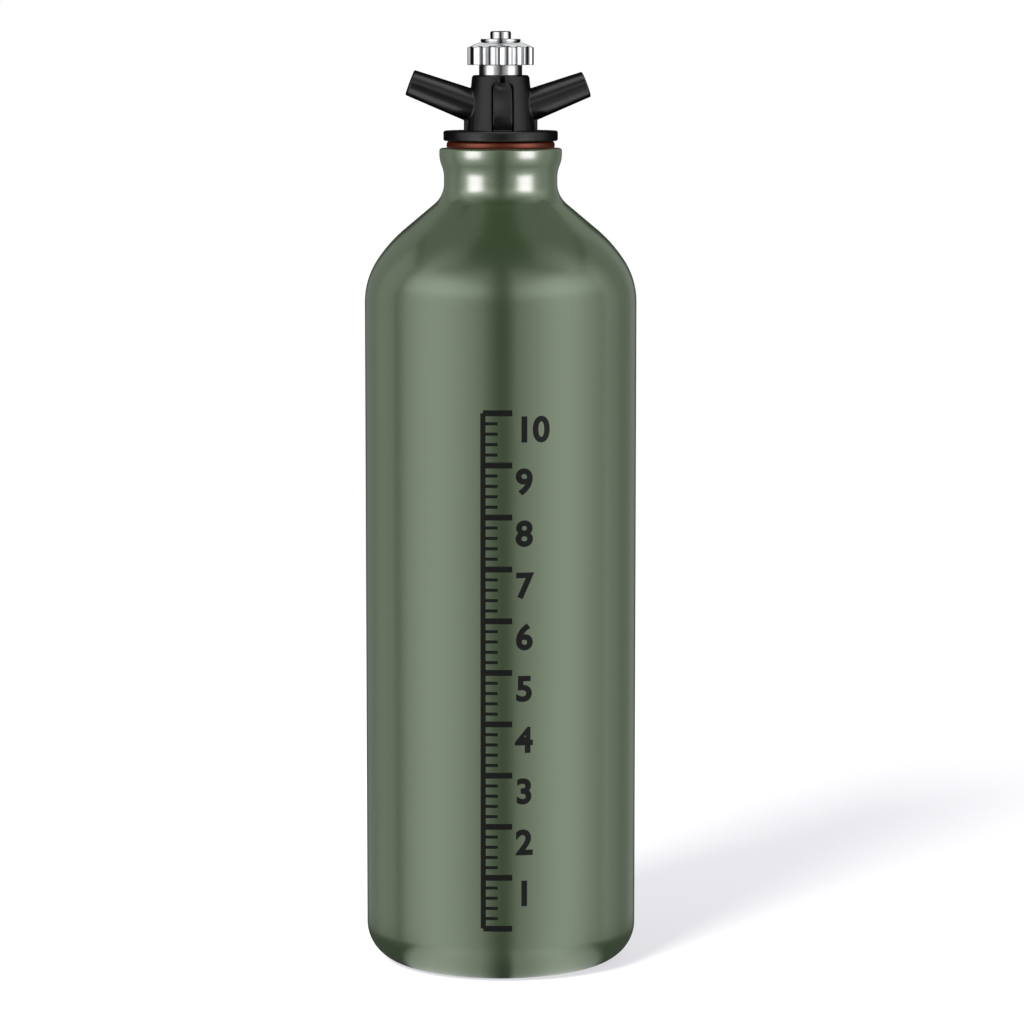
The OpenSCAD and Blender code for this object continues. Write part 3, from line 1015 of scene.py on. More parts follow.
@dataclass
class RingSeal(Builder):
    """The rubber ring between the lip and the cap's flange."""

    inner: float = 13.5 * MM
    outer: float = 15.9 * MM
    top_round: float = 0.9 * MM
    foot_round: float = 0.5 * MM
    bulge: float = 0.06 * MM

    def build(self) -> list[bpy.types.Object]:
        """Builds the ring, which bulges a little under the cap's pressure.

        Returns:
            The dressed piece.
        """
        low, high = self.levels.lip, self.levels.flange
        foot, top = self.foot_round, self.top_round
        side = [
            (self.outer + self.bulge * math.sin(math.pi * t) - self.bulge, low + foot + t * (high - low - foot - top))
            for t in np.linspace(0.1, 0.9, 7)
        ]
        outline = (
            arc((self.inner + foot, low + foot), foot, 180, 270, step=10)
            + arc((self.outer - self.bulge - foot, low + foot), foot, -90, 0, step=10)
            + side
            + arc((self.outer - self.bulge - top, high - top), top, 0, 90, step=6)
            + arc((self.inner + foot, high - foot), foot, 90, 180, step=10)
        )
        ring = turned(SEAL, outline, 224)
        return [self.dress(ring, "seal", Slot.SEAL_RUBBER, self.finishes.seal_rubber, "cap_seal")]


@dataclass
class CapBody(Builder):
    """The moulded cap: plug, flange, column and two spouts, cut from one distance field."""

    flange_radius: float = 16.8 * MM
    flange_height: float = 3 * MM
    flange_round: float = 0.6 * MM
    column_over_collar: float = 3.6 * MM
    foot: float = 10.0 * MM
    column_top: float = 8.45 * MM
    column_round: float = 0.9 * MM
    block: float = 9.0 * MM
    block_draft: float = 1.3 * MM
    facet_turn: float = 54.0
    block_height: float = 12.5 * MM
    block_round: float = 1.2 * MM
    block_top_round: float = 3.0 * MM
    rib_reach: float = 10.7 * MM
    rib_half: float = 2.2 * MM
    rib_height: float = 3.2 * MM
    rib_curve: float = 5.0 * MM
    rib_fillet: float = 0.3 * MM
    recess_width: float = 6.4 * MM
    recess_height: float = 14 * MM
    recess_round: float = 1.7 * MM
    rim_round: float = 0.22 * MM
    flare_fillet: float = 0.15 * MM
    core: float = 5.8 * MM
    socket: float = 7.5 * MM
    cross: float = 6.3 * MM
    cross_height: float = 5.3 * MM
    tongue_gap: float = 0.36 * MM
    tongue_inset: float = 0.3 * MM
    tongue_peak: float = 4.6 * MM
    tongue_upper: float = 32 * MM
    tongue_lower: float = 9.5 * MM
    tongue_crown: float = 30 * MM
    slit_width: float = 1.6 * MM
    slit_depth: float = 1.9 * MM
    slit_overlap: float = 0.2 * MM
    slit_round: float = 0.2 * MM
    spout_angle: float = 20.5
    spout_height: float = 4.1 * MM
    left_reach: float = 26.6 * MM
    right_reach: float = 25.2 * MM
    spout_tip: float = 3.9 * MM
    spout_taper: float = 2.8
    spout_bore: float = 2.5 * MM
    spout_round: float = 0.4 * MM
    spout_fillet: float = 0.3 * MM
    plug: float = 13.2 * MM
    plug_inner: float = 10.8 * MM
    land: float = 14.1 * MM
    land_height: float = 1.8 * MM
    land_drop: float = 0.4 * MM
    chamber: float = 4.6 * MM
    slide: float = 2.55 * MM
    gland: float = 4.37 * MM
    collar_pocket: float = 6.345 * MM
    gland_drop: float = 2.4 * MM
    chamber_drop: float = 3.4 * MM
    thread_pitch: float = 3 * MM
    thread_depth: float = 0.8 * MM
    cell: float = 0.2 * MM

    def __post_init__(self) -> None:
        """Works out the heights and the turned parts of the field."""
        levels = self.levels
        self.deck = levels.flange + self.flange_height
        self.column_height = levels.collar + self.column_over_collar
        self.turned_base = TurnedField(self.base_outline())
        self.turned_column = TurnedField(self.column_outline())
        self.turned_core = TurnedField(self.core_outline())
        self.turned_bore = TurnedField(self.bore_outline())
        self.turned_hollow = TurnedField(self.hollow_outline())

    def base_outline(self) -> Outline:
        """Outlines the plug with its land and the flange."""
        levels, chamfer, edge = self.levels, 0.8 * MM, self.flange_round
        land_top = levels.lip - self.land_drop
        return (
            [(PAST_AXIS, levels.plug), (self.plug - chamfer, levels.plug), (self.plug, levels.plug + chamfer)]
            + [(self.plug, land_top - self.land_height), (self.land, land_top - self.land_height)]
            + [(self.land, land_top), (self.plug, land_top), (self.plug, levels.flange)]
            + arc((self.flange_radius - edge, levels.flange + edge), edge, -90, 0, step=15)
            + arc((self.flange_radius - edge, self.deck - edge), edge, 0, 90, step=15)
            + [(PAST_AXIS, self.deck)]
        )

    def column_outline(self) -> Outline:
        """Outlines the conical column."""
        edge = self.column_round
        return (
            [(PAST_AXIS, self.levels.flange + 1 * MM), (self.foot, self.levels.flange + 1 * MM)]
            + [(self.foot, self.deck)]
            + arc((self.column_top - edge, self.column_height - edge), edge, 0, 90, step=10)
            + [(PAST_AXIS, self.column_height)]
        )

    def side(self, height: np.ndarray) -> np.ndarray:
        """Gives the conical column's radius at heights above the deck."""
        share = height / (self.column_height - self.deck - self.column_round)
        return self.foot + (self.column_top - self.foot) * share

    def roots(self, points: np.ndarray) -> Distances:
        """Measures the distance to the block behind the spouts' roots and the rib under each spout.

        Args:
            points: Positions, one row each.

        Returns:
            The distances. The block's front faces run on tangentially from the conical column.
        """
        x, y, z = np.abs(points[:, 0]), np.abs(points[:, 1]), points[:, 2] - self.deck
        slope = self.block_draft / self.block_height
        side = x - self.block - (self.block_height - z) * slope
        cone, turn = self.side(z), math.radians(self.facet_turn)
        facet = np.maximum(x * math.sin(turn) + y * math.cos(turn) - cone, y - cone * math.cos(turn))
        block = round_common(side, facet, self.block_round)
        block = round_common(block, z - self.block_height, self.block_top_round)
        start, end = (self.rib_reach, self.rib_height), (self.block, self.rib_height + self.rib_curve)
        curve = np.array([(self.rib_reach, 0.0), *s_curve(start, end, step=4), (self.block, self.block_height)])
        side = (x - np.interp(z, curve[:, 1], curve[:, 0])) * 0.93
        rib = round_common(side, y - self.rib_half, self.rib_fillet)
        rib = np.maximum(rib, z - self.rib_height - self.rib_curve)
        return np.maximum(round_union(block, rib, self.rib_fillet), -z - 1 * MM)

    def core_outline(self) -> Outline:
        """Outlines the chamber's tube and the collar's socket, which the recess leaves standing."""
        chamber_top = self.levels.collar - self.chamber_drop
        top = self.column_height - self.column_round - 0.6 * MM
        return [
            (PAST_AXIS, self.deck - 1 * MM), (self.core, self.deck - 1 * MM), (self.core, chamber_top - 0.2 * MM),
            (self.socket, chamber_top + 1.8 * MM), (self.socket, top), (PAST_AXIS, top),
        ]

    def bore_outline(self) -> Outline:
        """Outlines the space round the stem: chamber, stem hole, seal pocket and collar socket."""
        collar, past = self.levels.collar, 1.5 * MM
        gland = collar - self.gland_drop
        chamber_top = collar - self.chamber_drop
        pocket = collar - 0.6 * MM
        return [
            (PAST_AXIS, self.levels.seat - past), (self.chamber, self.levels.seat - past),
            (self.chamber, chamber_top), (self.slide, chamber_top), (self.slide, gland), (self.gland, gland),
            (self.gland, pocket), (self.collar_pocket, pocket), (self.collar_pocket, self.column_height + past),
            (PAST_AXIS, self.column_height + past),
        ]

    def hollow_outline(self) -> Outline:
        """Outlines the hollow of the plug, round the boss with the valve's seat."""
        levels, corner, boss = self.levels, 1 * MM, self.chamber + 2.4 * MM
        ceiling, past = levels.flange - 1 * MM, 1.5 * MM
        return (
            [(PAST_AXIS, levels.plug - past), (self.plug_inner, levels.plug - past)]
            + arc((self.plug_inner - corner, ceiling - corner), corner, 0, 90, step=15)
            + [(boss, ceiling), (boss, levels.seat + 1.2 * MM), (boss - 0.8 * MM, levels.seat)]
            + [(self.chamber + 0.6 * MM, levels.seat), (self.chamber, levels.seat + 0.6 * MM)]
            + [(PAST_AXIS, levels.seat + 0.6 * MM)]
        )

    def recess(self, points: np.ndarray) -> Distances:
        """Measures the distance to the upright slot with rounded upper corners."""
        side = np.abs(points[:, 0]) - (self.recess_width / 2 - self.recess_round)
        up = points[:, 2] - (self.deck + self.recess_height - self.recess_round)
        corner = np.hypot(np.maximum(side, 0), np.maximum(up, 0))
        return corner + np.minimum(np.maximum(side, up), 0) - self.recess_round

    def tongue(self, points: np.ndarray) -> Distances:
        """Measures the distance to the tongue in each recess, whose face bows out at mid-height."""
        height = points[:, 2] - self.deck
        from_peak = height - self.tongue_peak
        bow = from_peak**2 / (2 * np.where(from_peak > 0, self.tongue_upper, self.tongue_lower))
        crown = points[:, 0] ** 2 / (2 * self.tongue_crown)
        front = np.abs(points[:, 1]) - self.side(height) + self.tongue_inset + bow + crown
        return round_common(0.96 * front, self.recess(points) + self.tongue_gap, 0.2 * MM)

    def slit(self, points: np.ndarray) -> Distances:
        """Measures the distance to the pointed groove from each recess up to the column's top."""
        height = points[:, 2] - self.deck
        share = (self.side(height) - np.abs(points[:, 1])) / self.slit_depth
        groove = 0.9 * (np.abs(points[:, 0]) - self.slit_width / 2 * (1 - share))
        return np.maximum(groove, self.recess_height - self.slit_overlap - height)

    def spouts(self, points: np.ndarray) -> tuple[Distances, Distances]:
        """Measures the distances to the spouts and to the passages through them.

        Args:
            points: Positions, one row each.

        Returns:
            The distance to the spouts and the distance to the passages.
        """
        lean = math.radians(self.spout_angle)
        taper = math.radians(self.spout_taper)
        length = np.where(points[:, 0] < 0, self.left_reach, self.right_reach) / math.cos(lean)
        x, z = np.abs(points[:, 0]), points[:, 2] - self.deck - self.spout_height
        along = x * math.cos(lean) + z * math.sin(lean)
        away = np.hypot(z * math.cos(lean) - x * math.sin(lean), points[:, 1])
        side = (away - self.spout_tip - (length - along) * math.tan(taper)) * math.cos(taper)
        solid = np.maximum(round_common(side, along - length, self.spout_round), -along)
        flare = (away - self.spout_bore - (along - length + 0.3 * MM)) * math.sqrt(0.5)
        return solid, np.maximum(np.minimum(away - self.spout_bore, flare), -along)

    def field(self, points: np.ndarray) -> Distances:
        """Measures the distance to the whole cap.

        Args:
            points: Positions, one row each.

        Returns:
            The distances, negative inside.
        """
        outside = round_union(self.turned_column(points), self.roots(points), self.flare_fillet)
        column = round_cut(outside, self.recess(points), self.rim_round)
        tongue = round_common(outside, self.tongue(points), 0.2 * MM)
        across = np.hypot(points[:, 1], points[:, 2] - self.deck - self.cross_height) - self.cross
        across = np.maximum(across, np.abs(points[:, 0]) - self.recess_width / 2 - 0.5 * MM)
        core = round_union(self.turned_core(points), across, 0.4 * MM)
        core = np.maximum(core, self.deck - 1 * MM - points[:, 2])
        solid = round_union(column, round_union(core, tongue, 0.25 * MM), 0.15 * MM)
        solid = round_cut(solid, self.slit(points), self.slit_round)
        solid = round_union(solid, self.turned_base(points), 0.3 * MM)
        spouts, passages = self.spouts(points)
        solid = round_union(solid, spouts, self.spout_fillet)
        solid = round_cut(solid, self.turned_bore(points), 0.15 * MM)
        solid = round_cut(solid, self.turned_hollow(points), 0.25 * MM)
        return round_cut(solid, passages, 0.25 * MM)

    def build(self) -> list[bpy.types.Object]:
        """Meshes the cap and cuts its thread.

        Returns:
            The dressed pieces.
        """
        low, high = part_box("cap_body")
        room = Vector((1, 1, 1)) * 3 * self.cell
        cap = SurfaceNet(self.field, low - room, high + room, self.cell).build(MOULDING)
        self.dress(cap, "cap", Slot.PLASTIC, self.finishes.plastic, "cap_body")
        thread = Thread(
            root=self.plug, crest=self.plug + self.thread_depth, low=self.levels.lip - 11.5 * MM,
            high=self.levels.lip - 3.4 * MM, pitch=self.thread_pitch, base=1.6 * MM, tip=0.5 * MM,
            side=Turn.OUTSIDE,
        ).build("plug_thread")
        self.dress(thread, "cap", Slot.PLASTIC, self.finishes.plastic)
        return [cap, thread]


@dataclass
class CollarStack(Builder):
    """The metal collar in the top of the column, and what seals the stem below it."""

    outer: float = 6.325 * MM
    wall: float = 1.3 * MM
    slide: float = 2.55 * MM
    seal_section: float = 1.8 * MM
    washer: float = 0.6 * MM
    hidden: float = 0.3 * MM
    edge: float = 0.2 * MM

    def build(self) -> list[bpy.types.Object]:
        """Builds the collar, the gland washer and the stem's seal.

        Returns:
            The dressed pieces.
        """
        levels = self.levels
        low, floor, high = levels.collar, levels.collar_floor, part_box("guide_collar")[1].z
        inner = self.outer - self.wall
        outline = (
            arc((self.slide + self.edge, low + self.edge), self.edge, 180, 270, step=30)
            + arc((self.outer - self.edge, low + self.edge), self.edge, -90, 0, step=15)
            + arc((self.outer - self.edge, high - self.edge), self.edge, 0, 90, step=15)
            + arc((inner + self.edge, high - self.edge), self.edge, 90, 180, step=15)
            + [(inner, floor + 0.3 * MM), (inner - 0.3 * MM, floor)]
            + [(self.slide + self.edge, floor), (self.slide, floor - self.edge)]
        )
        collar = turned(COLLAR, outline, 144)
        self.dress(collar, "cap", Slot.STEEL, self.finishes.steel, "guide_collar")
        section = rounded_ring(self.slide, self.outer - 0.02 * MM, low - self.washer, low, 0.1 * MM)
        washer = turned("gland_washer_ring", section, 128)
        self.dress(washer, "cap", Slot.STEEL, self.finishes.steel, "gland_washer")
        radius = self.seal_section / 2
        middle = (self.slide + radius, low - self.washer - radius)
        seal = turned("stem_seal_ring", arc(middle, radius, 0, 345, step=15), 96)
        self.dress(seal, "cap", Slot.RUBBER, self.finishes.rubber, "stem_seal")
        return [collar, washer, seal]


@dataclass
class Knob(Builder):
    """The fluted knob and the thrust washer under it."""

    radius: float = 9.8 * MM
    bore: float = 2.55 * MM
    cup: float = 6.675 * MM
    flutes: int = 14
    flute_radius: float = 2.6 * MM
    flute_depth: float = 0.75 * MM
    flute_turn: float = 5.6
    ridge_round: float = 0.22 * MM
    top_radius: float = 5.8 * MM
    chamfer: float = 1.6 * MM
    edge: float = 0.25 * MM
    sides_per_flute: int = 28
    washer: float = 0.8 * MM
    washer_radius: float = 4.725 * MM

    def wall_radius(self, angle: np.ndarray) -> np.ndarray:
        """Finds how far the fluted wall lies from the axis.

        Args:
            angle: Directions in radians.

        Returns:
            The radii, with the ridges a little rounded.
        """
        pitch = 2 * math.pi / self.flutes
        start = math.radians(self.flute_turn) + pitch / 2
        offset = (angle - start + pitch / 2) % pitch - pitch / 2
        centre = self.radius + self.flute_radius - self.flute_depth
        beside = centre * np.sin(offset)
        reach = np.sqrt(np.maximum(self.flute_radius**2 - beside**2, 0))
        flute = np.where(np.abs(beside) < self.flute_radius, centre * np.cos(offset) - reach, np.inf)
        gap = np.clip((flute - self.radius) / self.ridge_round, -1, 1)
        soft = self.radius - self.ridge_round * (1 - gap) ** 2 / 4
        return np.where(flute - self.radius < -self.ridge_round, flute, soft)

    def build(self) -> list[bpy.types.Object]:
        """Builds the knob and its washer.

        Returns:
            The dressed pieces.
        """
        levels, edge = self.levels, self.edge
        angle = np.linspace(0, 2 * math.pi, self.flutes * self.sides_per_flute, endpoint=False)
        fluted = self.wall_radius(angle)
        low, high, shoulder = levels.knob, levels.knob_top, levels.knob_top - self.chamfer
        slope = math.degrees(math.atan2(self.chamfer, self.radius - self.top_radius))
        outline = (
            [(self.bore + edge, levels.cup), (self.cup - 0.4 * MM, levels.cup), (self.cup, levels.cup - 0.4 * MM)]
            + [(self.cup, low + 0.3 * MM), (self.cup + 0.3 * MM, low)]
            + arc((self.radius - edge, low + edge), edge, -90, 0, step=15)
            + [(self.radius, low + (shoulder - low) * t) for t in (0.33, 0.66)]
            + arc((self.radius - edge, shoulder - edge * 0.6), edge, 0, 90 - slope, step=15)
            + [
                (self.radius - edge / 2 + (self.top_radius + edge - self.radius) * t, shoulder + self.chamfer * t)
                for t in np.linspace(0.08, 0.93, 9)
            ]
            + arc((self.top_radius - 0.1 * MM, high - edge), edge, 90 - slope, 90, step=15)
            + [(self.bore + edge, high), (self.bore, high - edge), (self.bore, levels.cup + edge)]
        )
        rings = []
        for radius, height in outline:
            shown = np.minimum(radius, fluted - (self.radius - radius if radius > self.radius - edge else 0))
            rings.append(np.stack([shown * np.cos(angle), shown * np.sin(angle), np.full(len(angle), height)], 1))
        knob = loft("thumb_knob_head", rings, loop=True, sharp=40)
        self.dress(knob, "knob", Slot.CHROME, self.finishes.chrome, "thumb_knob")
        section = rounded_ring(self.bore, self.washer_radius, levels.cup - self.washer, levels.cup, 0.12 * MM)
        washer = turned("spring_washer_ring", section, 96)
        self.dress(washer, "spring_seat", Slot.STEEL, self.finishes.steel, "spring_washer")
        return [knob, washer]


@dataclass
class StemStack(Builder):
    """The stem with its riveted head, the stop washer, and the valve at its foot."""

    stem: float = 2.5 * MM
    slide: float = 2.55 * MM
    head_radius: float = 3.05 * MM
    head_round: float = 0.6 * MM
    shoulder: float = 3.6 * MM
    shoulder_height: float = 1 * MM
    washer_radius: float = 5.85 * MM
    washer_round: float = 0.28 * MM
    gasket: float = 1.5 * MM
    gasket_radius: float = 7.7 * MM
    disc_radius: float = 8.5 * MM
    pocket_radius: float = 7.75 * MM
    plate: float = 1.6 * MM
    nut_across: float = 8 * MM
    nut_height: float = 4 * MM
    thread_pitch: float = 0.8 * MM
    thread_depth: float = 0.45 * MM

    def stem_outline(self) -> Outline:
        """Outlines the stem: threads as fine rings, a plain guide and the domed head."""
        levels = self.levels
        inner = self.stem - 0.08 * MM
        groove = inner - self.thread_depth
        half = self.thread_pitch / 2
        tail = [(0.0, levels.stem), (self.stem - 0.6 * MM, levels.stem)]
        foot_top = levels.seat - 0.6 * MM
        count = int((foot_top - levels.stem - 0.6 * MM) / self.thread_pitch)
        foot = [
            point
            for i in range(count)
            for point in (
                (inner, levels.stem + 0.6 * MM + i * self.thread_pitch),
                (groove, levels.stem + 0.6 * MM + i * self.thread_pitch + half),
            )
        ]
        knob_low = levels.cup + 0.3 * MM
        knob_count = int((levels.knob_top - knob_low) / self.thread_pitch)
        knob_thread = [
            point
            for i in range(knob_count)
            for point in (
                (inner, knob_low + i * self.thread_pitch),
                (groove, knob_low + i * self.thread_pitch + half),
            )
        ]
        dome = arc((self.head_radius - self.head_round, levels.top - self.head_round), self.head_round, 0, 90, step=9)
        return (
            tail + foot + [(inner, foot_top), (self.stem, levels.seat)]
            + [(self.shoulder, levels.seat), (self.shoulder, levels.seat + self.shoulder_height - 0.2 * MM)]
            + [(self.shoulder - 0.2 * MM, levels.seat + self.shoulder_height)]
            + [(self.stem, levels.seat + self.shoulder_height), (self.stem, levels.cup - 0.2 * MM)]
            + knob_thread + [(inner, levels.knob_top), (inner, levels.head)]
            + [(self.head_radius - 0.1 * MM, levels.head), (self.head_radius, levels.head + 0.1 * MM)]
            + dome + [(0.0, levels.top)]
        )

    def nut(self) -> bpy.types.Object:
        """Builds the six-sided nut with its chamfered corners."""
        levels = self.levels
        sides, per_side = 6, 12
        angle = np.linspace(0, 2 * math.pi, sides * per_side, endpoint=False)
        offset = (angle + math.pi / sides) % (2 * math.pi / sides) - math.pi / sides
        flat = self.nut_across / 2
        hexagon = flat / np.cos(offset)
        corner = flat / math.cos(math.pi / sides)
        low, high = levels.disc - self.nut_height, levels.disc
        drop = (corner - flat) * math.tan(math.radians(30))
        outline = [
            (self.slide + 0.3 * MM, low), (flat * 0.98, low), (corner, low + drop),
            (corner, high - drop), (flat * 0.98, high), (self.slide + 0.3 * MM, high),
            (self.slide, high - 0.3 * MM), (self.slide, low + 0.3 * MM),
        ]
        rings = []
        for radius, height in outline:
            shown = np.minimum(radius, hexagon)
            rings.append(np.stack([shown * np.cos(angle), shown * np.sin(angle), np.full(len(angle), height)], 1))
        return loft("valve_nut_hexagon", rings, loop=True)

    def build(self) -> list[bpy.types.Object]:
        """Builds the stem, the stop washer, the gasket, the disc and the nut.

        Returns:
            The dressed pieces.
        """
        levels, finishes = self.levels, self.finishes
        stem = turned("valve_stem_rod", self.stem_outline(), 96, sharp=35)
        self.dress(stem, "stem", Slot.CHROME, finishes.chrome, "valve_stem")
        section = rounded_ring(self.slide, self.washer_radius, levels.knob_top, levels.head, self.washer_round)
        washer = turned("stop_washer_ring", section, 128)
        self.dress(washer, "stem", Slot.CHROME, finishes.chrome, "stop_washer")
        section = rounded_ring(self.slide, self.gasket_radius, levels.seat - self.gasket, levels.seat, 0.15 * MM)
        gasket = turned("valve_gasket_ring", section, 128)
        self.dress(gasket, "stem", Slot.RUBBER, finishes.rubber, "valve_gasket")
        plate_top = levels.disc + self.plate
        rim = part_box("valve_disc")[1].z
        edge = 0.2 * MM
        outline = (
            [(self.slide, levels.disc + edge), (self.slide + edge, levels.disc)]
            + arc((self.disc_radius - 0.4 * MM, levels.disc + 0.4 * MM), 0.4 * MM, -90, 0, step=15)
            + arc((self.disc_radius - edge, rim - edge), edge, 0, 90, step=30)
            + [(self.pocket_radius, rim), (self.pocket_radius, plate_top), (self.slide, plate_top)]
        )
        disc = turned("valve_disc_cup", outline, 128)
        self.dress(disc, "stem", Slot.BRASS, finishes.brass, "valve_disc")
        nut = self.dress(self.nut(), "stem", Slot.BRASS, finishes.brass, "valve_nut")
        return [stem, washer, gasket, disc, nut]


@dataclass
class ReturnSpring(Builder):
    """The spring, as two halves: the lower rides on the cap, the upper on the stem."""

    wire: float = 1.0 * MM
    radius: float = 3.7875 * MM
    turns: float = 4.7
    closed_turns: float = 0.75
    washer: float = 0.8 * MM
    travel: float = 1.2 * MM
    rings_per_turn: int = 40
    sides: int = 16

    def height(self, turn: float) -> float:
        """Gives the wire's height above the collar's floor after some turns, with both end coils closed."""
        total = self.levels.cup - self.washer - self.levels.collar_floor - self.wire
        open_turns = self.turns - 2 * self.closed_turns
        closed_rise = self.wire * self.closed_turns * 0.98
        if turn < self.closed_turns:
            rise = closed_rise * turn / self.closed_turns
        elif turn > self.turns - self.closed_turns:
            rise = total - closed_rise * (self.turns - turn) / self.closed_turns
        else:
            rise = closed_rise + (total - 2 * closed_rise) * (turn - self.closed_turns) / open_turns
        return rise + self.wire / 2

    def half(self, name: str, start: float, end: float) -> bpy.types.Object:
        """Sweeps the wire between two counts of turns.

        Args:
            name: Name of the object.
            start: Turns at which the half starts.
            end: Turns at which it ends.

        Returns:
            The half.
        """
        rings = []
        around = np.linspace(0, 2 * math.pi, self.sides, endpoint=False)
        for turn in np.linspace(start, end, math.ceil((end - start) * self.rings_per_turn) + 1):
            angle = 2 * math.pi * turn
            radius = self.radius + self.wire / 2 * np.cos(around)
            height = self.levels.collar_floor + self.height(turn) + self.wire / 2 * np.sin(around)
            rings.append(np.stack([radius * math.cos(angle), radius * math.sin(angle), height], 1))
        return loft(name, rings, capped=True, sharp=60)

    def build(self) -> list[bpy.types.Object]:
        """Builds both halves and hangs each on its own body.

        Returns:
            The dressed pieces.
        """
        middle = self.turns / 2
        lower = self.half("return_spring_lower", 0, middle)
        upper = self.half("return_spring_upper", middle, self.turns)
        floor = self.levels.collar_floor
        split = floor + self.height(middle)
        self.dress(lower, "cap", Slot.WIRE, self.finishes.wire, "return_spring")
        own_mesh(lower)
        self.dress(upper, "stem", Slot.WIRE, self.finishes.wire, "return_spring")
        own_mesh(upper)
        return [lower, upper]


@dataclass
class PrintedScale(Builder):
    """A plain level scale printed up the front: a spine, graduations and numbers."""

    facing: float = -2.0
    low: float = 17 * MM
    division: float = 15 * MM
    divisions: int = 10
    parts: int = 5
    spine: float = 1.5 * MM
    spine_place: float = -6.4 * MM
    long_bar: Point = (8.4 * MM, 1.7 * MM)
    short_bar: Point = (4.2 * MM, 0.9 * MM)
    digit_height: float = 7.0 * MM
    digit_weight: float = 0.35 * MM
    digit_place: float = 3.0 * MM
    film: float = 0.02 * MM
    strip: float = 0.5 * MM

    def bar(self, left: float, right: float, low: float, high: float) -> bpy.types.Mesh:
        """Makes a flat bar, cut into strips so that it can wrap round the bottle.

        Args:
            left: Place of its left end, along the surface.
            right: Place of its right end.
            low: Height of its lower edge.
            high: Height of its upper edge.

        Returns:
            The mesh, flat in X and Y, as thick as the film.
        """
        rings = [
            np.array([(x, low, -self.film), (x, high, -self.film), (x, high, self.film), (x, low, self.film)])
            for x in np.linspace(left, right, max(2, math.ceil((right - left) / self.strip)) + 1)
        ]
        made = loft("bar", rings, capped=True)
        mesh = made.data
        bpy.data.objects.remove(made)
        return mesh

    def digits(self, text: str, left: float, height: float) -> bpy.types.Mesh:
        """Makes a flat number, cut into strips so that it can wrap round the bottle.

        Args:
            text: The number.
            left: Place of its left edge, along the surface.
            height: Height of its middle.

        Returns:
            The mesh, flat in X and Y, as thick as the film.
        """
        curve = bpy.data.curves.new("digits", "FONT")
        curve.body = text
        curve.align_x, curve.align_y = "LEFT", "CENTER"
        curve.size = self.digit_height / 0.7
        curve.offset = self.digit_weight
        curve.extrude = self.film
        curve.resolution_u = 6
        held = bpy.data.objects.new("digits", curve)
        bpy.context.scene.collection.objects.link(held)
        bpy.context.view_layer.update()
        mesh = bpy.data.meshes.new_from_object(held.evaluated_get(bpy.context.evaluated_depsgraph_get()))
        bpy.data.objects.remove(held)
        made = bmesh.new()
        made.from_mesh(mesh)
        bmesh.ops.remove_doubles(made, verts=made.verts, dist=0.002 * MM)
        xs = [v.co.x for v in made.verts]
        for x in np.arange(min(xs) + self.strip, max(xs), self.strip):
            everything = [*made.verts, *made.edges, *made.faces]
            bmesh.ops.bisect_plane(made, geom=everything, plane_co=(x, 0, 0), plane_no=(1, 0, 0))
        bmesh.ops.translate(made, verts=made.verts, vec=(left, height, 0))
        made.to_mesh(mesh)
        made.free()
        return mesh

    def build(self) -> list[bpy.types.Object]:
        """Prints the scale.

        Returns:
            The dressed piece.
        """
        top = self.low + self.divisions * self.division
        half = self.spine / 2
        parts = [self.bar(self.spine_place - half, self.spine_place + half, self.low, top)]
        for i in range(self.divisions * self.parts + 1):
            height = self.low + i * self.division / self.parts
            major = i % self.parts == 0
            length, thick = self.long_bar if major else self.short_bar
            parts.append(self.bar(self.spine_place, self.spine_place + length, height - thick / 2, height + thick / 2))
            if major and i > 0:
                label = str(i // self.parts)
                parts.append(self.digits(label, self.digit_place, height - self.digit_height / 2 - 1.6 * MM))
        print_mesh = bmesh.new()
        for part in parts:
            print_mesh.from_mesh(part)
            bpy.data.meshes.remove(part)
        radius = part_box("bottle_shell")[1].x
        facing = math.radians(270 + self.facing)
        for vertex in print_mesh.verts:
            along, height, out = vertex.co
            angle = facing + along / radius
            vertex.co = ((radius + out) * math.cos(angle), (radius + out) * math.sin(angle), height)
        mesh = bpy.data.meshes.new("level_scale")
        print_mesh.to_mesh(mesh)
        print_mesh.free()
        scale = bpy.data.objects.new("level_scale", mesh)
        bpy.context.scene.collection.objects.link(scale)
        return [self.dress(scale, "bottle", Slot.PAINT, self.finishes.ink)]


# Studio


@dataclass(frozen=True)
class Softbox:
    """A soft light, placed by the directions in which it lies as seen from the bottle.

    Azimuths are in degrees to the right of the camera, elevations in degrees above the horizon. Past its
    edges the light fades out over the given angles.
    """

    left: float
    right: float
    strength: float
    left_fade: float
    right_fade: float
    low: float = -60.0
    high: float = 38.0
    low_fade: float = 20.0
    high_fade: float = 36.0

    def brightness(self, graph: Graph, azimuth: bpy.types.NodeSocket, elevation: bpy.types.NodeSocket) -> Any:
        """Adds the nodes that give the light's brightness in a direction.

        Args:
            graph: The world's graph.
            azimuth: Socket with the direction's azimuth in degrees.
            elevation: Socket with its elevation in degrees.

        Returns:
            The socket with the brightness.
        """
        level: Any = self.strength
        for value, start, end, fade_in, fade_out in (
            (azimuth, self.left, self.right, self.left_fade, self.right_fade),
            (elevation, self.low, self.high, self.low_fade, self.high_fade),
        ):
            level = graph.math("MULTIPLY", level, graph.ramp(value, start - fade_in, start, 0.0, 1.0))
            level = graph.math("MULTIPLY", level, graph.ramp(value, end, end + fade_out, 1.0, 0.0))
        return level


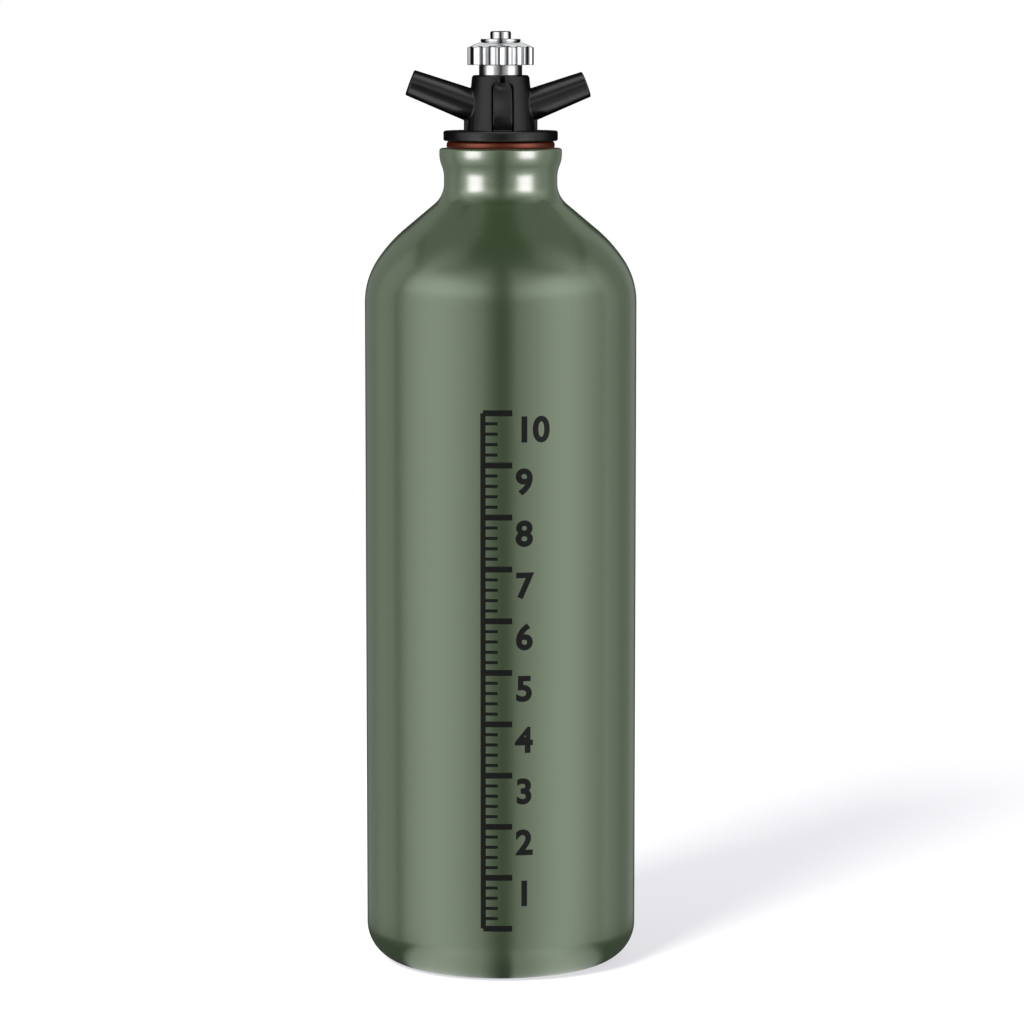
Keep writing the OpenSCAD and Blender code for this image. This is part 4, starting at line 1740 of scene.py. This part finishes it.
@dataclass(frozen=True)
class LightBox:
    """A light box that shows in the gloss of chosen pieces alone.

    Its azimuth is in degrees to the right of the camera and its elevation in degrees above the horizon, both
    as seen from the cap, and so are its two spans.
    """

    lit: tuple[str, ...]
    azimuth: float
    wide: float
    elevation: float
    tall: float
    radiance: float
    colour: tuple[float, float, float] = (1.0, 1.0, 1.0)
    distance: float = 1.5
    height: float = 0.24

    def build(self, camera_azimuth: float) -> None:
        """Hangs the light.

        Args:
            camera_azimuth: The camera's own azimuth in degrees.
        """
        width, tall = (2 * self.distance * math.tan(math.radians(span / 2)) for span in (self.wide, self.tall))
        lamp = bpy.data.lights.new("light_box", "AREA")
        lamp.shape, lamp.size, lamp.size_y = "RECTANGLE", width, tall
        lamp.energy = self.radiance * math.pi * width * tall
        lamp.color = self.colour
        light = bpy.data.objects.new("light_box", lamp)
        bpy.context.scene.collection.objects.link(light)
        around, up = math.radians(270 + camera_azimuth + self.azimuth), math.radians(self.elevation)
        toward = Vector((math.cos(up) * math.cos(around), math.cos(up) * math.sin(around), math.sin(up)))
        light.location = Vector((0, 0, self.height)) + self.distance * toward
        light.rotation_euler = (-toward).to_track_quat("-Z", "Y").to_euler()
        light.visible_camera = light.visible_diffuse = False
        receivers = bpy.data.collections.new("lit_by_box")
        for name in self.lit:
            receivers.objects.link(bpy.data.objects[name])
        light.light_linking.receiver_collection = receivers


@dataclass
class Studio:
    """Camera, softboxes, white floor and the key light that draws the shadow on it."""

    camera_azimuth: float = -4.0
    camera_distance: float = 1.178
    camera_height: float = 0.2703
    camera_side: float = 0.00333
    camera_tilt: float = 6.60
    lens: float = 140.625
    softboxes: tuple[Softbox, ...] = (
        Softbox(-86, -21, 0.48, 18, 23),
        Softbox(-61, -53, 0.46, 45, 45, -26, 36, 12, 12),
        Softbox(-86, -21, 0.3, 18, 23, 18, 28, 8, 10),
        Softbox(14.5, 92, 0.44, 9, 20),
        Softbox(14.5, 92, 0.26, 9, 20, 18, 28, 8, 10),
        Softbox(54, 58, 0.53, 44, 44, -26, 36, 12, 12),
    )
    light_boxes: tuple[LightBox, ...] = (
        LightBox((NECK,), -53, 32, 5, 37, 4.1, (1.14, 0.92, 1.22)),
        LightBox((NECK,), 51, 32, 5, 37, 4.1, (1.14, 0.92, 1.22)),
        LightBox((SHELL, NECK), -115, 30, -2, 84, 0.48),
        LightBox((SHELL, NECK), -146, 30, -2, 84, 0.34),
        LightBox((SHELL, NECK), 108, 20, -2, 84, 0.42),
        LightBox((SHELL, NECK), 130, 24, -2, 84, 0.29),
        LightBox((SHELL, NECK), 151, 18, -2, 84, 0.42),
        LightBox((SHELL, NECK), -118, 56, 60, 34, 0.2),
        LightBox((SHELL, NECK), 118, 56, 60, 34, 0.19),
        LightBox((COLLAR,), -59, 42, 5, 60, 1.3),
        LightBox((COLLAR,), 61, 42, 5, 60, 1.3),
        LightBox(CHROMES, -46, 50, 5, 60, 0.8),
        LightBox(CHROMES, 60, 46, 5, 60, 0.8),
        LightBox((COLLAR, *CHROMES), 180, 30, 30, 34, 0.85),
        LightBox((MOULDING,), -50, 30, -12, 20, 2.0),
        LightBox((MOULDING,), 48, 30, -12, 20, 1.8),
        LightBox((MOULDING,), 0, 12, 20, 14, 2.4),
        LightBox((MOULDING,), 0, 70, 74, 34, 1.9),
        LightBox((MOULDING,), 0, 70, -70, 50, 1.6),
        LightBox((SEAL,), -50, 40, 5, 70, 3.1, (1.0, 0.85, 0.75)),
        LightBox((SEAL,), 57, 40, 5, 70, 3.1, (1.0, 0.85, 0.75)),
    )
    darkness: float = 0.01
    fill: Point = (0.27, 0.6)
    key_azimuth: float = -31.0
    key_distance: float = 1.6
    key_height: float = 1.2
    key_size: float = 0.7
    key_power: float = 120.0
    floor_reach: float = 60.0
    floor_glow: Colour = (0.64, 0.633, 0.667, 1.0)
    floor_colour: Colour = (0.25, 0.25, 0.25, 1.0)
    floor_bounce: float = 0.3
    foot_spread: float = 1.75
    foot_darkness: float = 0.08

    def build(self) -> None:
        """Sets the studio up."""
        floor = self.floor()
        self.key(floor)
        for box in self.light_boxes:
            box.build(self.camera_azimuth)
        self.surroundings()
        self.camera()

    def camera(self) -> None:
        """Stands the camera at the photograph's place."""
        data = bpy.data.cameras.new("camera")
        data.lens = self.lens
        data.sensor_width = 36
        data.clip_end = 200
        camera = bpy.data.objects.new("camera", data)
        bpy.context.scene.collection.objects.link(camera)
        turn = Matrix.Rotation(math.radians(self.camera_azimuth), 4, "Z")
        stand = Matrix.Translation((self.camera_side, -self.camera_distance, self.camera_height))
        tilt = Matrix.Rotation(math.radians(90 - self.camera_tilt), 4, "X")
        camera.matrix_world = turn @ stand @ tilt
        bpy.context.scene.camera = camera

    def key(self, floor: bpy.types.Object) -> None:
        """Hangs the key light, which lights the floor alone.

        Args:
            floor: The floor.
        """
        lamp = bpy.data.lights.new("key", "AREA")
        lamp.shape, lamp.size = "DISK", self.key_size
        lamp.energy = self.key_power
        light = bpy.data.objects.new("key", lamp)
        bpy.context.scene.collection.objects.link(light)
        turn = math.radians(270 + self.camera_azimuth + self.key_azimuth)
        light.location = (self.key_distance * math.cos(turn), self.key_distance * math.sin(turn), self.key_height)
        light.rotation_euler = (-light.location).to_track_quat("-Z", "Y").to_euler()
        light.visible_camera = False
        receivers = bpy.data.collections.new("lit_by_key")
        receivers.objects.link(floor)
        light.light_linking.receiver_collection = receivers

    def floor(self) -> bpy.types.Object:
        """Lays the white floor. Round the bottle's foot it glows for glossy rays alone, a painted reflection of the
        softboxes that shows in the foot's gloss; farther out glossy rays pass through it, so that the softboxes show
        in the bottle's foot.

        Returns:
            The floor.
        """
        reach = self.floor_reach
        corners = [(-reach, -reach), (reach, -reach), (reach, reach), (-reach, reach)]
        points = np.array([(x, y, -0.00002) for x, y in corners])
        floor = mesh_object("floor", points, [(0, 1, 2, 3)], 30)
        floor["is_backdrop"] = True
        material = bpy.data.materials.new("studio_floor")
        material.use_nodes = True
        material.node_tree.nodes.clear()
        graph = Graph(material.node_tree)
        rays = graph.add("ShaderNodeLightPath").outputs
        place = graph.add("ShaderNodeNewGeometry").outputs["Position"]
        radius = graph.add("ShaderNodeVectorMath", {0: place}, operation="LENGTH").outputs["Value"]
        lit = graph.add("ShaderNodeBsdfDiffuse", {0: self.floor_colour}).outputs[0]
        glow = graph.add("ShaderNodeEmission", {0: self.floor_glow, 1: 1.0}).outputs[0]
        near = graph.add("ShaderNodeAddShader", {0: lit, 1: glow}).outputs[0]
        white = graph.add("ShaderNodeEmission", {0: (1, 1, 1, 1), 1: 1.0}).outputs[0]
        far = graph.ramp(radius, 0.7, 1.0, 0.0, 1.0)
        seen = graph.add("ShaderNodeMixShader", {0: far, 1: near, 2: white}).outputs[0]
        open_floor = graph.add("ShaderNodeBsdfTransparent").outputs[0]
        # Painted reflection: round the foot the floor glows for glossy rays with the softboxes' pattern, so that the
        # foot shows their reflection.
        painted_foot_reflection = graph.add("ShaderNodeEmission", {1: self.foot_light(graph, place)}).outputs[0]
        bounce = graph.add("ShaderNodeEmission", {1: self.floor_bounce}).outputs[0]
        mirrored = graph.ramp(radius, 0.05, 0.09, 0.0, 1.0)
        glossy = graph.add("ShaderNodeMixShader", {0: mirrored, 1: painted_foot_reflection, 2: open_floor}).outputs[0]
        other = graph.add("ShaderNodeMixShader", {0: rays["Is Glossy Ray"], 1: bounce, 2: glossy}).outputs[0]
        shader = graph.add("ShaderNodeMixShader", {0: rays["Is Camera Ray"], 1: other, 2: seen}).outputs[0]
        graph.add("ShaderNodeOutputMaterial", {0: shader})
        floor.data.materials.append(material)
        return floor

    def foot_light(self, graph: Graph, place: bpy.types.NodeSocket) -> bpy.types.NodeSocket:
        """Adds the nodes that carry the softboxes' light on to the floor round the bottle's foot, as a glow that
        paints their reflection into the foot.

        Args:
            graph: The floor's graph.
            place: Socket with the place on the floor.

        Returns:
            The socket with the brightness.
        """
        turn = {"Vector": place, "Angle": math.radians(-self.camera_azimuth)}
        turned_back = graph.add("ShaderNodeVectorRotate", turn, rotation_type="Z_AXIS").outputs[0]
        parts = graph.add("ShaderNodeSeparateXYZ", {0: turned_back}).outputs
        ahead = graph.math("MULTIPLY", parts[1], -1.0)
        around = graph.math("DEGREES", graph.math("ARCTAN2", parts[0], ahead))
        mirrored = graph.math("MULTIPLY", around, self.foot_spread)
        light: Any = self.foot_darkness
        for box in self.softboxes:
            light = graph.math("ADD", light, box.brightness(graph, mirrored, 0.0))
        return light

    def surroundings(self) -> None:
        """Draws the softboxes in the surroundings, which are plain white to the camera."""
        world = bpy.data.worlds.new("studio")
        bpy.context.scene.world = world
        world.use_nodes = True
        world.node_tree.nodes.clear()
        graph = Graph(world.node_tree)
        direction = graph.add("ShaderNodeTexCoord").outputs["Generated"]
        turn = {"Vector": direction, "Angle": math.radians(-self.camera_azimuth)}
        turned_back = graph.add("ShaderNodeVectorRotate", turn, rotation_type="Z_AXIS").outputs[0]
        parts = graph.add("ShaderNodeSeparateXYZ", {0: turned_back}).outputs
        ahead = graph.math("MULTIPLY", parts[1], -1.0)
        azimuth = graph.math("DEGREES", graph.math("ARCTAN2", parts[0], ahead))
        elevation = graph.math("DEGREES", graph.math("ARCSINE", parts[2]))
        light: Any = self.darkness
        for box in self.softboxes:
            light = graph.math("ADD", light, box.brightness(graph, azimuth, elevation))
        rays = graph.add("ShaderNodeLightPath").outputs
        fill = graph.ramp(elevation, -5.0, 60.0, *self.fill)
        light = graph.math("MULTIPLY_ADD", rays["Is Diffuse Ray"], fill, light)
        boxes = graph.add("ShaderNodeBackground", {0: (1, 1, 1, 1), 1: light}).outputs[0]
        white = graph.add("ShaderNodeBackground", {0: (1, 1, 1, 1), 1: 1.0}).outputs[0]
        shader = graph.add("ShaderNodeMixShader", {0: rays["Is Camera Ray"], 1: boxes, 2: white}).outputs[0]
        graph.add("ShaderNodeOutputWorld", {0: shader})
        bpy.context.scene.view_settings.view_transform = "Standard"


def main() -> None:
    """Builds the bottle piece by piece, then the studio."""
    logging.basicConfig(level=logging.INFO, format="%(message)s")
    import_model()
    cad_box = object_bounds()
    levels, finishes = Levels.from_frame(), Finishes()
    assemblies = (BottleShell, RingSeal, CapBody, CollarStack, Knob, StemStack, ReturnSpring, PrintedScale)
    for assembly in assemblies:
        for piece in assembly(levels, finishes).build():
            log.info("%s: %d vertices", piece.name, len(piece.data.vertices))
    Studio().build()
    boxes = {"cad": cad_box, "visual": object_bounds()}
    json.dumps({name: [list(corner) for corner in box] for name, box in boxes.items()})


if __name__ == "__main__":
    main()
